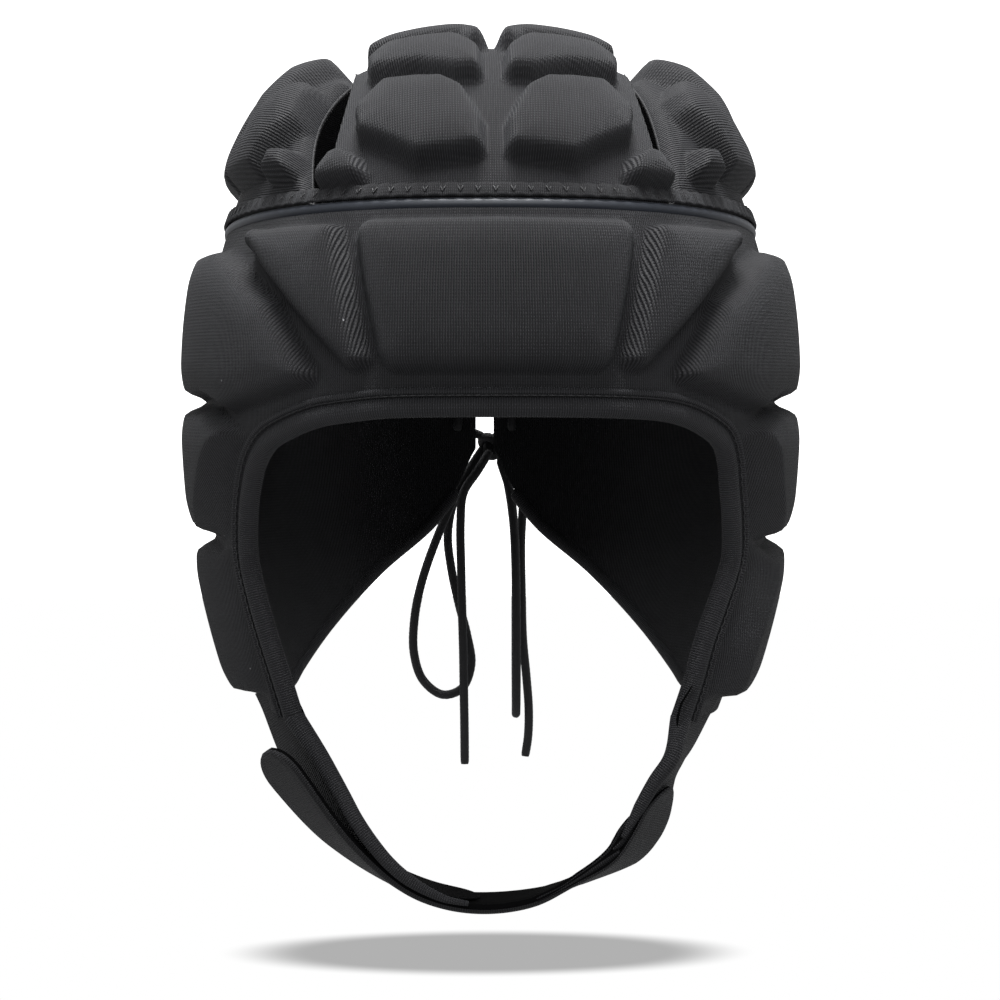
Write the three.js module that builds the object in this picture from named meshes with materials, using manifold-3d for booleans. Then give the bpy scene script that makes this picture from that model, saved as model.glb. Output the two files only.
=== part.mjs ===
// A soft padded scrum cap: millimetres, +X to the wearer's left, +Y to the back, +Z up.
// The origin is the inside of the crown's highest point, where the cap sits on the head.
import * as THREE from 'three';
import { mergeVertices } from 'three/addons/utils/BufferGeometryUtils.js';
import Module from 'manifold-3d';

// Head form, measured inside the cap
const HEAD_HALF_WIDTH = 82;
const HEAD_HALF_LENGTH = 99;
const CROWN_HEIGHT = 100;        // from the widest level up to the inside of the crown
const NECK_DROP = 93;            // from the widest level down to the cheek flaps' lower edge
const FORM_POWER = 2.35;         // 2 is an ellipse, more is squarer
const JAW_NARROWING = 0.20;      // share of the width lost at the lower edge
const CHIN_NARROWING = 0.09;     // share of the front half length lost there
const NAPE_NARROWING = 0.28;     // share of the back half length lost there

// Padded sheet
const SHEET = 3;
const PAD_RISE = 7.4;            // pad top above the sheet
const PAD_ROOT = 1.2;            // pad foot above the inside of the sheet, sunk in it
const PAD_SHOULDER = 2.4;        // width of a pad's steep side
const PAD_CROWNING = 6.5;        // width over which a pad rounds over to its top
const CORNER_CUT = 4.5;          // how much of each side a pad's rounded corner takes
const CORNER_CUT_LIMIT = 0.36;   // and the largest share of a side that it takes
const BLUNT = 104;               // degrees, above which a corner isn't rounded
const DRAW_IN_LIMIT = 0.6;       // share of the way to a pad's middle that a ring is drawn in at most
const SHOULDER_SHARE = 0.72;     // height of the shoulder's upper edge, as a share of the rise
const CREST_SHARE = 1.05;        // height of a pad's middle, likewise

// Seam between crown and lower shell
const SEAM_DROP = 53.3;          // below the origin, over the ears
const SEAM_TILT = 3.5;           // degrees, higher at the brow than at the nape
const PIPING_DIAMETER = 3.2;
const TAPE_WIDTH = 4.2;
const TAPE_THICKNESS = 0.8;
const VENT_WIDTH_RIGHT = 7.5;    // widest place of the slit on the wearer's right
const VENT_WIDTH_LEFT = 2.6;     // and on the left, where the panels lie closer
const VENT_MIDDLE = 0.54;        // its place, as a share of the half length
const BACK_VENT_SHARE = 0.45;    // how wide the slits are behind the top, against the front
const STRIP_HALF_WIDTH = 40;     // centre strip on top of the head
const STRIP_END_HALF_WIDTH = 49; // centre strip at the seam
const SEAM_REACH = 0.77;         // share of the half length at which it meets the seam

// Edges
const ROLL_DIAMETER = 6;         // rolled rim of the face opening
const FLANGE_WIDTH = 2.2;        // stitched flap of the rim that lies on the sheet
const FLANGE_THICKNESS = 1.3;
const NECK_ROLL = 4.6;
const NAPE_DROP = 118;           // top of the arch at the nape, below the origin
const LACE_SLIT = 6;             // width of the slit at the back
const EAR_HOLE_TURN = 99;        // degrees round from the face
const EAR_HOLE_DROP = 123;
const EAR_HOLE_WIDTH = 26;
const EAR_HOLE_HEIGHT = 34;

// Straps
const CHIN_DROP = 246;           // middle of the chin strap, below the origin
const STRAP_WIDTH = 26;
const STRAP_THICKNESS = 3;
const STRAP_FORWARD = 0.576;     // middle of the chin strap, as a share of the half length
const CHIN_LEAN = 0.5;           // how far its back edge stands out at the head's full width
const PRONG_THICKNESS = 1.4;     // each of the two layers that hold the left cheek strap's end
const STRAP_END_THICKNESS = 2;   // the cheek strap between those layers

// Lace
const LACE_DIAMETER = 3;
const LACE_HOLE = 5.4;
const LACE_HOLE_INSET = 9;       // from the middle of the slit
const KNOT_WIDTH = 10.3;
const KNOT_DEPTH = 9;
const KNOT_HEIGHT = 11.2;

const GAP = 0.3;                 // between pieces that touch

const DEG = Math.PI / 180;
const WIDEST = -CROWN_HEIGHT;
const HEM = WIDEST - NECK_DROP;
const CROWN_COLUMNS = 30;
const CROWN_ROWS = 5;
const SHELL_COLUMNS = 30;
const SHELL_ROWS = 6;
const PANEL_STEPS = 28;
const LACE_STEPS = 18;
const WIDE_PAD = 28;              // pads that reach further than this get a ring inside their top

const wasm = await Module();
wasm.setup();

// Half axes of the head form at a level, grown by the distance out from it
function halfAxes(level, out) {
  const u = Math.max(0, (WIDEST - level) / NECK_DROP);
  return {
    side: HEAD_HALF_WIDTH * (1 - JAW_NARROWING * u ** 2.2) + out,
    front: HEAD_HALF_LENGTH * (1 - CHIN_NARROWING * u ** 1.5) + out,
    back: HEAD_HALF_LENGTH * (1 - NAPE_NARROWING * u ** 1.8) + out,
  };
}

// How much of the widest section is left at a level above it
function crownShare(level, out) {
  if (level <= WIDEST) return 1;
  const rise = Math.min(1, (level - WIDEST) / (CROWN_HEIGHT + out));
  return (1 - rise ** FORM_POWER) ** (1 / FORM_POWER);
}

// A point by its turn from the face, in degrees, and its level
function sidePoint(turn, level, out) {
  const axes = halfAxes(level, out);
  const x = Math.sin(turn * DEG);
  const y = -Math.cos(turn * DEG);
  const length = y < 0 ? axes.front : axes.back;
  const sum = Math.abs(x / axes.side) ** FORM_POWER + Math.abs(y / length) ** FORM_POWER;
  const radius = crownShare(level, out) * sum ** (-1 / FORM_POWER);
  return new THREE.Vector3(x * radius, y * radius, level);
}

// A point on the crown by its place across and its angle along, from the brow over the top
function crownPoint(across, along, out) {
  const side = HEAD_HALF_WIDTH + out;
  const left = (1 - Math.min(1, Math.abs(across / side)) ** FORM_POWER) ** (1 / FORM_POWER);
  const y = -Math.cos(along * DEG);
  const z = Math.sin(along * DEG);
  const sum = Math.abs(y / (HEAD_HALF_LENGTH + out)) ** FORM_POWER
    + Math.abs(z / (CROWN_HEIGHT + out)) ** FORM_POWER;
  const radius = left * sum ** (-1 / FORM_POWER);
  return new THREE.Vector3(across, y * radius, WIDEST + z * radius);
}

// A point by its place across and its level, on the front (-1) or the back (1)
function facePoint(x, level, out, facing) {
  const axes = halfAxes(level, out);
  const share = crownShare(level, out) ** FORM_POWER;
  const left = Math.max(0, share - Math.abs(x / axes.side) ** FORM_POWER) ** (1 / FORM_POWER);
  return new THREE.Vector3(x, facing * left * (facing < 0 ? axes.front : axes.back), level);
}

const backPoint = (x, level, out) => facePoint(x, level, out, 1);

function formValue(p) {
  const axes = halfAxes(p.z, 0);
  const length = p.y < 0 ? axes.front : axes.back;
  let value = Math.abs(p.x / axes.side) ** FORM_POWER + Math.abs(p.y / length) ** FORM_POWER;
  if (p.z > WIDEST) value += ((p.z - WIDEST) / CROWN_HEIGHT) ** FORM_POWER;
  return value;
}

// Direction straight out of the head form
function outward(p) {
  const step = 0.5;
  const slope = ['x', 'y', 'z'].map((axis) => {
    const ahead = p.clone();
    const behind = p.clone();
    ahead[axis] += step;
    behind[axis] -= step;
    return formValue(ahead) - formValue(behind);
  });
  return new THREE.Vector3(...slope).normalize();
}

function seamLevel(turn) {
  let level = -SEAM_DROP;
  for (let pass = 0; pass < 6; pass += 1) {
    level = -SEAM_DROP - Math.tan(SEAM_TILT * DEG) * sidePoint(turn, level, SHEET).y;
  }
  return level;
}

// Solids

function geometryOf(points, faces) {
  const geometry = new THREE.BufferGeometry();
  const places = points.flatMap((p) => p.toArray());
  geometry.setAttribute('position', new THREE.Float32BufferAttribute(places, 3));
  geometry.setIndex(faces.flat());
  return geometry;
}

function signedVolume(points, faces) {
  return faces.reduce((sum, [a, b, c]) => (
    sum + points[a].dot(points[b].clone().cross(points[c])) / 6), 0);
}

function facingOut(points, faces) {
  return signedVolume(points, faces) < 0 ? faces.map(([a, b, c]) => [a, c, b]) : faces;
}

// A closed solid through rings of equally many points; the ends close on a point or on each other
function loft(rings, joined = false, tips = []) {
  const count = rings[0].length;
  const points = rings.flat();
  const faces = [];
  const last = joined ? rings.length : rings.length - 1;
  for (let i = 0; i < last; i += 1) {
    const next = (i + 1) % rings.length;
    for (let j = 0; j < count; j += 1) {
      const k = (j + 1) % count;
      faces.push([i * count + j, next * count + j, next * count + k]);
      faces.push([i * count + j, next * count + k, i * count + k]);
    }
  }
  if (!joined) {
    for (const [ring, flip] of [[0, false], [rings.length - 1, true]]) {
      const centre = new THREE.Vector3();
      rings[ring].forEach((p) => centre.addScaledVector(p, 1 / count));
      points.push(tips[flip ? 1 : 0] ?? centre);
      for (let j = 0; j < count; j += 1) {
        const a = ring * count + j;
        const b = ring * count + ((j + 1) % count);
        faces.push(flip ? [points.length - 1, b, a] : [points.length - 1, a, b]);
      }
    }
  }
  return geometryOf(points, facingOut(points, faces));
}

// A section swept along a path; each section point is [along the sheet, out of the sheet]
function sweep(path, sectionAt, outAt, joined = false) {
  const rings = path.map((p, i) => {
    const before = joined ? path[(i + path.length - 1) % path.length] : path[Math.max(0, i - 1)];
    const after = joined ? path[(i + 1) % path.length] : path[Math.min(path.length - 1, i + 1)];
    const ahead = after.clone().sub(before).normalize();
    const out = outAt(p, i, ahead).clone();
    out.addScaledVector(ahead, -out.dot(ahead)).normalize();
    const along = ahead.clone().cross(out);
    return sectionAt(i).map(([s, n]) => p.clone().addScaledVector(along, s).addScaledVector(out, n));
  });
  return loft(rings, joined);
}

function circle(diameter, sides) {
  return Array.from({ length: sides }, (_, i) => {
    const angle = (i / sides) * 2 * Math.PI;
    return [Math.cos(angle) * diameter / 2, Math.sin(angle) * diameter / 2];
  });
}

// A flat bar with rounded edges
function bar(width, thickness) {
  const w = width / 2;
  const t = thickness / 2;
  const edge = Math.min(t, w) * 0.8;
  return [[-w, 0], [-w + edge, t], [w - edge, t], [w, 0], [w - edge, -t], [-w + edge, -t]];
}

function solidOf(geometry) {
  const bare = new THREE.BufferGeometry();
  bare.setAttribute('position', geometry.getAttribute('position'));
  if (geometry.index) bare.setIndex(geometry.index);
  const merged = mergeVertices(bare, 1e-4);
  return new wasm.Manifold(new wasm.Mesh({
    numProp: 3,
    vertProperties: new Float32Array(merged.getAttribute('position').array),
    triVerts: new Uint32Array(merged.index.array),
  }));
}

function geometryFrom(solid) {
  const mesh = solid.getMesh();
  const geometry = new THREE.BufferGeometry();
  geometry.setAttribute('position', new THREE.BufferAttribute(mesh.vertProperties, 3));
  geometry.setIndex(new THREE.BufferAttribute(mesh.triVerts, 1));
  return geometry;
}

// A prism on an outline drawn from above, from the front or from the side
const VIEWS = {
  above: [new THREE.Vector3(1, 0, 0), new THREE.Vector3(0, 1, 0), new THREE.Vector3(0, 0, 1)],
  front: [new THREE.Vector3(1, 0, 0), new THREE.Vector3(0, 0, 1), new THREE.Vector3(0, -1, 0)],
  side: [new THREE.Vector3(0, 1, 0), new THREE.Vector3(0, 0, 1), new THREE.Vector3(1, 0, 0)],
};

function prism(outline, view, low, high) {
  const shape = new THREE.Shape(outline.map(([a, b]) => new THREE.Vector2(a, b)));
  const geometry = new THREE.ExtrudeGeometry(shape, { depth: high - low, bevelEnabled: false, steps: 1 });
  geometry.translate(0, 0, view === 'front' ? -high : low);
  geometry.applyMatrix4(new THREE.Matrix4().makeBasis(...VIEWS[view]));
  return solidOf(geometry);
}

// Pads

// Rounds each corner of an outline on the sheet by cutting off a little of both its sides,
// and leaves the blunt ones
function roundOutline(corners, place) {
  const at = ([a, b]) => place(a, b, SHEET);
  return corners.flatMap((corner, i) => {
    const others = [corners[(i + corners.length - 1) % corners.length], corners[(i + 1) % corners.length]];
    const [before, after] = others.map((other) => at(other).sub(at(corner)));
    if (before.angleTo(after) > BLUNT * DEG) return [corner];
    return others.map((other) => {
      const share = Math.min(CORNER_CUT_LIMIT, CORNER_CUT / at(corner).distanceTo(at(other)));
      return [corner[0] + (other[0] - corner[0]) * share, corner[1] + (other[1] - corner[1]) * share];
    });
  });
}

// Draws an outline in by a distance, measured on the sheet
function drawIn(outline, distance, place) {
  const middle = middleOf(outline);
  const step = 0.5;
  const home = place(middle[0], middle[1], SHEET);
  const scale = [
    place(middle[0] + step, middle[1], SHEET).distanceTo(home) / step,
    place(middle[0], middle[1] + step, SHEET).distanceTo(home) / step,
  ];
  const flat = outline.map(([a, b]) => (
    new THREE.Vector2((a - middle[0]) * scale[0], (b - middle[1]) * scale[1])));
  const turn = Math.sign(THREE.ShapeUtils.area(flat));
  return flat.map((p, i) => {
    const before = flat[(i + flat.length - 1) % flat.length];
    const after = flat[(i + 1) % flat.length];
    const normals = [p.clone().sub(before), after.clone().sub(p)].map((side) => {
      side.normalize();
      return new THREE.Vector2(-side.y * turn, side.x * turn);
    });
    const inward = normals[0].add(normals[1]).normalize();
    const reach = Math.min(distance, p.length() * DRAW_IN_LIMIT);
    const moved = p.clone().addScaledVector(inward, reach);
    return [middle[0] + moved.x / scale[0], middle[1] + moved.y / scale[1]];
  });
}

function middleOf(outline) {
  return outline.reduce(([a, b], p) => [a + p[0] / outline.length, b + p[1] / outline.length], [0, 0]);
}

function padSolid(corners, place, rise) {
  const rim = roundOutline(corners, place);
  const shoulder = drawIn(rim, PAD_SHOULDER, place);
  const top = drawIn(rim, PAD_CROWNING, place);
  const middle = middleOf(top);
  const inner = top.map(([a, b]) => [(a + middle[0]) / 2, (b + middle[1]) / 2]);
  const ring = (outline, out) => outline.map(([a, b]) => place(a, b, out));
  const reach = Math.max(...ring(top, SHEET).map((p) => p.distanceTo(place(...middle, SHEET))));
  const crest = SHEET + rise * CREST_SHARE;
  const rings = [
    ring(inner, PAD_ROOT),
    ring(rim, PAD_ROOT),
    ring(shoulder, SHEET + rise * SHOULDER_SHARE),
    ring(top, SHEET + rise),
  ];
  if (reach > WIDE_PAD) rings.push(ring(inner, crest));
  return solidOf(loft(rings, false, [place(...middle, PAD_ROOT), place(...middle, crest)]));
}

// Outlines of the pads on the crown: across as a share of the half width, along in degrees
// over the head from the brow; each row is one pad, with its mirror image on the other side
const STRIP_PADS = [
  {
    name: 'brow corner',
    corners: [
      [0.60, 37.6], [0.585, 40.5], [0.54, 42.2], [0.49, 42.4], [0.44, 39.5], [0.425, 37], [0.45, 35.6],
    ],
  },
  {
    name: 'front',
    corners: [
      [0.03, 37], [0.03, 43], [0.09, 50.5], [0.16, 53.5],
      [0.37, 55.5], [0.47, 49], [0.455, 43.5], [0.26, 36],
    ],
  },
  {
    name: 'forehead',
    corners: [
      [0.03, 54.5], [0.03, 63], [0.10, 70.5], [0.37, 72.5],
      [0.435, 65], [0.42, 59.5], [0.25, 57.5], [0.13, 54.5],
    ],
  },
  {
    name: 'top',
    corners: [
      [0.03, 69], [0.03, 95], [0.12, 101], [0.40, 101], [0.44, 95], [0.44, 79], [0.38, 76], [0.12, 74],
    ],
  },
  {
    name: 'back of the top',
    corners: [
      [0.03, 99], [0.04, 117], [0.14, 128], [0.40, 126], [0.45, 118], [0.43, 105], [0.13, 105],
    ],
  },
  {
    name: 'back',
    corners: [[0.03, 121], [0.03, 151], [0.36, 149], [0.54, 143], [0.47, 131], [0.14, 132]],
  },
];
const UPPER_SIDE_PADS = [
  {
    name: 'upper front',
    corners: [
      [0.515, 80], [0.62, 70], [0.665, 62.5], [0.74, 60], [0.79, 64], [0.77, 74], [0.66, 86], [0.515, 88],
    ],
  },
  {
    name: 'upper back',
    corners: [[0.515, 92], [0.66, 92], [0.70, 104], [0.70, 110], [0.57, 114], [0.53, 102]],
  },
];
// Outlines of the other pads: turn in degrees from the face, and drop below the seam as a
// share of the depth from the seam to the hem; a negative drop is above the seam
const LOWER_SIDE_PADS = [
  { name: 'temple corner', corners: [[38.5, -0.06], [41, -0.095], [46, -0.095], [47.5, -0.06]] },
  {
    name: 'front band',
    corners: [
      [43, -0.165], [46, -0.205], [53, -0.235], [62, -0.20], [70, -0.15], [73, -0.065], [52, -0.065],
    ],
  },
  { name: 'over the ear', corners: [[80, -0.075], [79, -0.25], [102, -0.25], [102, -0.075]] },
  {
    name: 'back band',
    corners: [[105.5, -0.075], [106, -0.25], [121, -0.25], [133, -0.19], [127, -0.075]],
  },
  { name: 'back corner', corners: [[130, -0.07], [137, -0.15], [142, -0.13], [142, -0.07]] },
];
const BROW_PAD = [[0, 0.03], [21.2, 0.032], [22.8, 0.06], [18, 0.29], [16.3, 0.318], [0, 0.318]];
const SHELL_PADS = [
  {
    name: 'brow side',
    corners: [
      [26, 0.035], [45.5, 0.033], [47.5, 0.055], [36, 0.165], [22.5, 0.316], [19.6, 0.318], [19.8, 0.285],
    ],
  },
  {
    name: 'temple',
    corners: [
      [50, 0.092], [58, 0.06], [84, 0.05], [86, 0.345], [58, 0.354], [49, 0.385],
      [38, 0.362], [30, 0.342], [28.5, 0.318], [37.5, 0.178],
    ],
  },
  {
    name: 'before the ear',
    corners: [[45.5, 0.435], [57, 0.378], [84, 0.36], [84, 0.61], [60, 0.64], [54, 0.645], [47, 0.58]],
  },
  {
    name: 'cheek',
    corners: [[46, 0.645], [51, 0.64], [64, 0.665], [82, 0.64], [80, 0.955], [46.5, 0.965]],
  },
  { name: 'above the ear', corners: [[89, 0.05], [116, 0.05], [113, 0.33], [90, 0.34]] },
  { name: 'behind the ear', corners: [[114, 0.36], [133, 0.36], [129, 0.66], [112, 0.70], [111, 0.62]] },
  {
    name: 'below the ear',
    corners: [[85, 0.68], [107, 0.72], [119, 0.705], [116, 0.90], [108, 0.955], [84, 0.955]],
  },
  { name: 'upper back', corners: [[120, 0.05], [147, 0.05], [147, 0.325], [117, 0.325]] },
  { name: 'lower back', corners: [[136.5, 0.36], [148, 0.36], [147, 0.53], [135, 0.63], [132, 0.61]] },
  { name: 'nape', corners: [[151, 0.05], [171, 0.05], [171, 0.36], [162, 0.46], [151, 0.50]] },
];

const byTurn = (side) => (turn, drop, out) => {
  const seam = seamLevel(turn);
  return sidePoint(side * turn, seam + (HEM - seam) * drop, out);
};
const byAcross = (side) => (across, along, out) => (
  crownPoint(side * across * HEAD_HALF_WIDTH, along, out));

function padsOf(rows, place) {
  return rows.map(({ corners }) => padSolid(corners, place, PAD_RISE));
}

// Panels

function crownSheet() {
  const edgeGap = PIPING_DIAMETER / 2 + GAP;
  const grid = (out) => Array.from({ length: CROWN_COLUMNS }, (_, i) => {
    const turn = (i / CROWN_COLUMNS) * 360 - 180;
    const low = (seamLevel(turn) + edgeGap - WIDEST) / CROWN_HEIGHT;
    const first = Math.asin(low ** (FORM_POWER / 2));
    return Array.from({ length: CROWN_ROWS + 1 }, (__, j) => {
      const angle = first + (Math.PI / 2 - first) * Math.min(0.985, j / CROWN_ROWS);
      const level = WIDEST + (CROWN_HEIGHT + out) * Math.sin(angle) ** (2 / FORM_POWER);
      return sidePoint(turn, j === 0 ? WIDEST + low * CROWN_HEIGHT : level, out);
    });
  });
  const [outer, inner] = [grid(SHEET), grid(0)];
  const rows = CROWN_ROWS + 1;
  const rings = outer.map((column, i) => [...column.slice().reverse(), ...inner[i]]);
  const points = [...rings.flat(), new THREE.Vector3(0, 0, SHEET), new THREE.Vector3(0, 0, 0)];
  const count = rows * 2;
  const [top, under] = [points.length - 2, points.length - 1];
  const faces = [];
  rings.forEach((_, i) => {
    const next = (i + 1) % rings.length;
    for (let j = 0; j < count - 1; j += 1) {
      faces.push([i * count + j, next * count + j, next * count + j + 1]);
      faces.push([i * count + j, next * count + j + 1, i * count + j + 1]);
    }
    faces.push([top, next * count, i * count], [under, (i + 1) * count - 1, (next + 1) * count - 1]);
  });
  return solidOf(geometryOf(points, facingOut(points, faces)));
}

// Edge of the centre strip, seen from above; it widens to the seam at both ends
function stripEdge(y) {
  const reach = Math.min(1, Math.abs(y) / HEAD_HALF_LENGTH / SEAM_REACH);
  return STRIP_HALF_WIDTH + (STRIP_END_HALF_WIDTH - STRIP_HALF_WIDTH) * reach ** 4;
}

function ventWidth(y, side) {
  const reach = Math.abs(y) / HEAD_HALF_LENGTH;
  const swell = Math.max(0, 1 - ((reach - VENT_MIDDLE) / (SEAM_REACH - VENT_MIDDLE)) ** 2);
  const widest = side > 0 ? VENT_WIDTH_LEFT : VENT_WIDTH_RIGHT;
  return GAP + widest * (y > 0 ? BACK_VENT_SHARE : 1) * swell;
}

function crownPanels() {
  const sheet = crownSheet();
  const far = HEAD_HALF_LENGTH + PAD_RISE * 3;
  const wide = HEAD_HALF_WIDTH + PAD_RISE * 3;
  const rows = Array.from({ length: PANEL_STEPS + 1 }, (_, i) => -far + (2 * far * i) / PANEL_STEPS);
  const line = (side, extra) => rows.map((y) => [side * (stripEdge(y) + extra * ventWidth(y, side)), y]);
  const centre = [...line(1, 0), ...line(-1, 0).reverse()];
  const keepCentre = prism(centre, 'above', WIDEST, PAD_RISE * 3);
  const side = (sign) => {
    const outline = [...line(sign, 1), [sign * wide, far], [sign * wide, -far]];
    const beside = prism(outline, 'above', WIDEST, PAD_RISE * 3);
    let solid = sheet;
    padsOf(UPPER_SIDE_PADS, byAcross(sign)).forEach((pad) => { solid = solid.add(pad); });
    padsOf(LOWER_SIDE_PADS, byTurn(sign)).forEach((pad) => { solid = solid.add(pad); });
    return solid.intersect(beside);
  };
  let strip = sheet;
  [-1, 1].forEach((sign) => {
    padsOf(STRIP_PADS, byAcross(sign)).forEach((pad) => { strip = strip.add(pad); });
  });
  return { crown_centre: strip.intersect(keepCentre), crown_left: side(1), crown_right: side(-1) };
}

// Face opening: rows down from the brow, with the rim's place across on each side as a share
// of the half width, and its drop as a share of the depth from the widest level to the hem
const FACE_EDGE = [
  { drop: 0.036, right: 0.000, left: 0.000 },
  { drop: 0.040, right: 0.360, left: 0.400 },
  { drop: 0.050, right: 0.470, left: 0.560 },
  { drop: 0.068, right: 0.595, left: 0.645 },
  { drop: 0.100, right: 0.690, left: 0.720 },
  { drop: 0.140, right: 0.765, left: 0.775 },
  { drop: 0.200, right: 0.812, left: 0.800 },
  { drop: 0.290, right: 0.839, left: 0.812 },
  { drop: 0.386, right: 0.852, left: 0.824 },
  { drop: 0.510, right: 0.851, left: 0.825 },
  { drop: 0.630, right: 0.822, left: 0.780 },
  { drop: 0.755, right: 0.781, left: 0.728 },
  { drop: 0.880, right: 0.736, left: 0.690 },
  { drop: 1.040, right: 0.682, left: 0.630 },
];
const FACE_STEPS = 28;

function faceOutline(grow) {
  const side = (name, sign) => FACE_EDGE.map((row) => [
    sign * (row[name] * HEAD_HALF_WIDTH),
    WIDEST - row.drop * NECK_DROP,
  ]);
  const edge = [...side('right', -1).reverse(), ...side('left', 1).slice(1)];
  const route = edge.map(([x, z]) => new THREE.Vector3(x, 0, z));
  const points = new THREE.CatmullRomCurve3(route, false, 'centripetal').getSpacedPoints(FACE_STEPS);
  return points.map((p, i) => {
    const before = points[Math.max(0, i - 1)];
    const after = points[Math.min(points.length - 1, i + 1)];
    const ahead = after.clone().sub(before).normalize();
    return [p.x - ahead.z * grow, p.z + ahead.x * grow];
  });
}

function faceCutter(grow) {
  const edge = faceOutline(grow);
  const first = edge[0];
  const last = edge[edge.length - 1];
  const low = HEM - NECK_DROP;
  const outline = [[first[0], low], ...edge, [last[0], low]];
  return prism(outline, 'front', -2 * HEAD_HALF_LENGTH, -0.12 * HEAD_HALF_LENGTH);
}

// Nape arch: place across as a share of the half width, and drop as a share of the depth
// from the top of the arch to the hem
const NAPE_EDGE = [
  { across: 0.00, drop: -0.03 },
  { across: 0.035, drop: 0.00 },
  { across: 0.12, drop: 0.18 },
  { across: 0.235, drop: 0.33 },
  { across: 0.43, drop: 0.51 },
  { across: 0.62, drop: 0.73 },
  { across: 0.725, drop: 0.90 },
  { across: 0.765, drop: 1.00 },
  { across: 0.775, drop: 1.03 },
];

function napeOutline() {
  const depth = -NAPE_DROP - HEM;
  return NAPE_EDGE.map((row) => [row.across * HEAD_HALF_WIDTH, -NAPE_DROP - depth * row.drop]);
}

function lowerShell() {
  const top = (turn) => seamLevel(turn) - PIPING_DIAMETER / 2 - GAP;
  const grid = (out) => Array.from({ length: SHELL_COLUMNS }, (_, i) => {
    const turn = -180 + (360 * i) / SHELL_COLUMNS;
    return Array.from({ length: SHELL_ROWS + 1 }, (__, j) => (
      sidePoint(turn, top(turn) + (HEM - top(turn)) * (j / SHELL_ROWS), out)));
  });
  const [outer, inner] = [grid(SHEET), grid(0)];
  let solid = solidOf(loft(outer.map((column, i) => [...column, ...inner[i].slice().reverse()]), true));
  const browMirrored = BROW_PAD.slice(1, -1).reverse().map(([turn, drop]) => [-turn, drop]);
  let pads = padSolid([...BROW_PAD, ...browMirrored], byTurn(1), PAD_RISE);
  [-1, 1].forEach((sign) => {
    padsOf(SHELL_PADS, byTurn(sign)).forEach((pad) => { pads = pads.add(pad); });
  });
  pads = pads.subtract(faceCutter(ROLL_DIAMETER / 2 + FLANGE_WIDTH + GAP * 4));
  solid = solid.add(pads).subtract(faceCutter(ROLL_DIAMETER / 2 + GAP));
  const half = LACE_SLIT / 2;
  const arch = napeOutline();
  const behind = [HEAD_HALF_LENGTH * 0.1, HEAD_HALF_LENGTH * 2];
  const mirrored = arch.map(([x, z]) => [-x, z]).reverse();
  const below = HEM - NECK_DROP;
  const foot = arch[arch.length - 1][0];
  const archOutline = [...mirrored, ...arch.slice(1), [foot, below], [-foot, below]];
  const archCut = prism(archOutline, 'front', ...behind);
  const slit = prism([[-half, below], [half, below], [half, 0], [-half, 0]], 'front', ...behind);
  solid = solid.subtract(archCut).subtract(slit);
  [-1, 1].forEach((sign) => {
    solid = solid.subtract(earHole(sign));
    laceHoles(sign).forEach((hole) => { solid = solid.subtract(hole); });
  });
  return solid;
}

function earHole(sign) {
  const middle = sidePoint(sign * EAR_HOLE_TURN, -EAR_HOLE_DROP, 0);
  const sides = 14;
  const outline = circle(1, sides).map(([a, b]) => (
    [middle.y + a * EAR_HOLE_WIDTH, middle.z + b * EAR_HOLE_HEIGHT]));
  const reach = [sign * HEAD_HALF_WIDTH * 0.5, sign * HEAD_HALF_WIDTH * 1.5].sort((p, q) => p - q);
  return prism(outline, 'side', ...reach);
}

function laceLevels() {
  const top = seamLevel(180) - TAPE_WIDTH * 1.5;
  const low = -NAPE_DROP + NECK_ROLL * 1.6;
  return [top, (top + low) / 2, low];
}

function laceHoles(sign) {
  return laceLevels().map((level) => {
    const outline = circle(LACE_HOLE, 8).map(([a, b]) => [sign * LACE_HOLE_INSET + a, level + b]);
    return prism(outline, 'front', HEAD_HALF_LENGTH * 0.5, HEAD_HALF_LENGTH * 1.5);
  });
}

// Trim

// Follows the seam in the same steps as the crown sheet, so that both have the same flats
function seamPath(lift, out) {
  return Array.from({ length: CROWN_COLUMNS }, (_, i) => {
    const turn = (i / CROWN_COLUMNS) * 360 - 180;
    return sidePoint(turn, seamLevel(turn) + lift, out);
  });
}

function piping() {
  return solidOf(sweep(seamPath(0, SHEET * 0.75), () => circle(PIPING_DIAMETER, 6), outward, true));
}

function seamTape() {
  const lift = PIPING_DIAMETER / 2 + GAP * 2 + TAPE_WIDTH * 0.4;
  const out = SHEET + GAP * 2 + TAPE_THICKNESS / 2;
  const section = [[-0.5, -0.5], [0.5, -0.5], [0.5, 0.5], [-0.5, 0.5]]
    .map(([a, b]) => [a * TAPE_WIDTH, b * TAPE_THICKNESS]);
  return solidOf(sweep(seamPath(lift, out), () => section, outward, true));
}

function faceBinding(grow = 0) {
  const path = faceOutline(0).map(([x, z]) => facePoint(x, z, SHEET / 2, -1));
  const r = ROLL_DIAMETER / 2 + grow;
  const lift = SHEET / 2 + GAP * 2 - grow;
  const roll = [[-r, 0], [-r * 0.7, r * 0.75], [0, r], [r * 0.75, r * 0.8]];
  const flange = [
    [r + GAP, lift + FLANGE_THICKNESS + grow * 2], [r + FLANGE_WIDTH, lift + FLANGE_THICKNESS + grow * 2],
    [r + FLANGE_WIDTH, lift], [r, lift],
  ];
  const under = [[r * 0.95, -r * 0.3], [r * 0.5, -r * 0.9], [-r * 0.5, -r * 0.9]];
  const section = [...roll, ...flange, ...under].map(([a, b]) => [-a, b]);
  return solidOf(sweep(path, () => section, outward)).subtract(everythingBelow(HEM - grow));
}

function everythingBelow(level) {
  const [wide, far] = [HEAD_HALF_WIDTH * 2, HEAD_HALF_LENGTH * 2];
  const low = level - CHIN_DROP;
  return prism([[-wide, low], [wide, low], [wide, level], [-wide, level]], 'front', -far, far);
}

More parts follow.
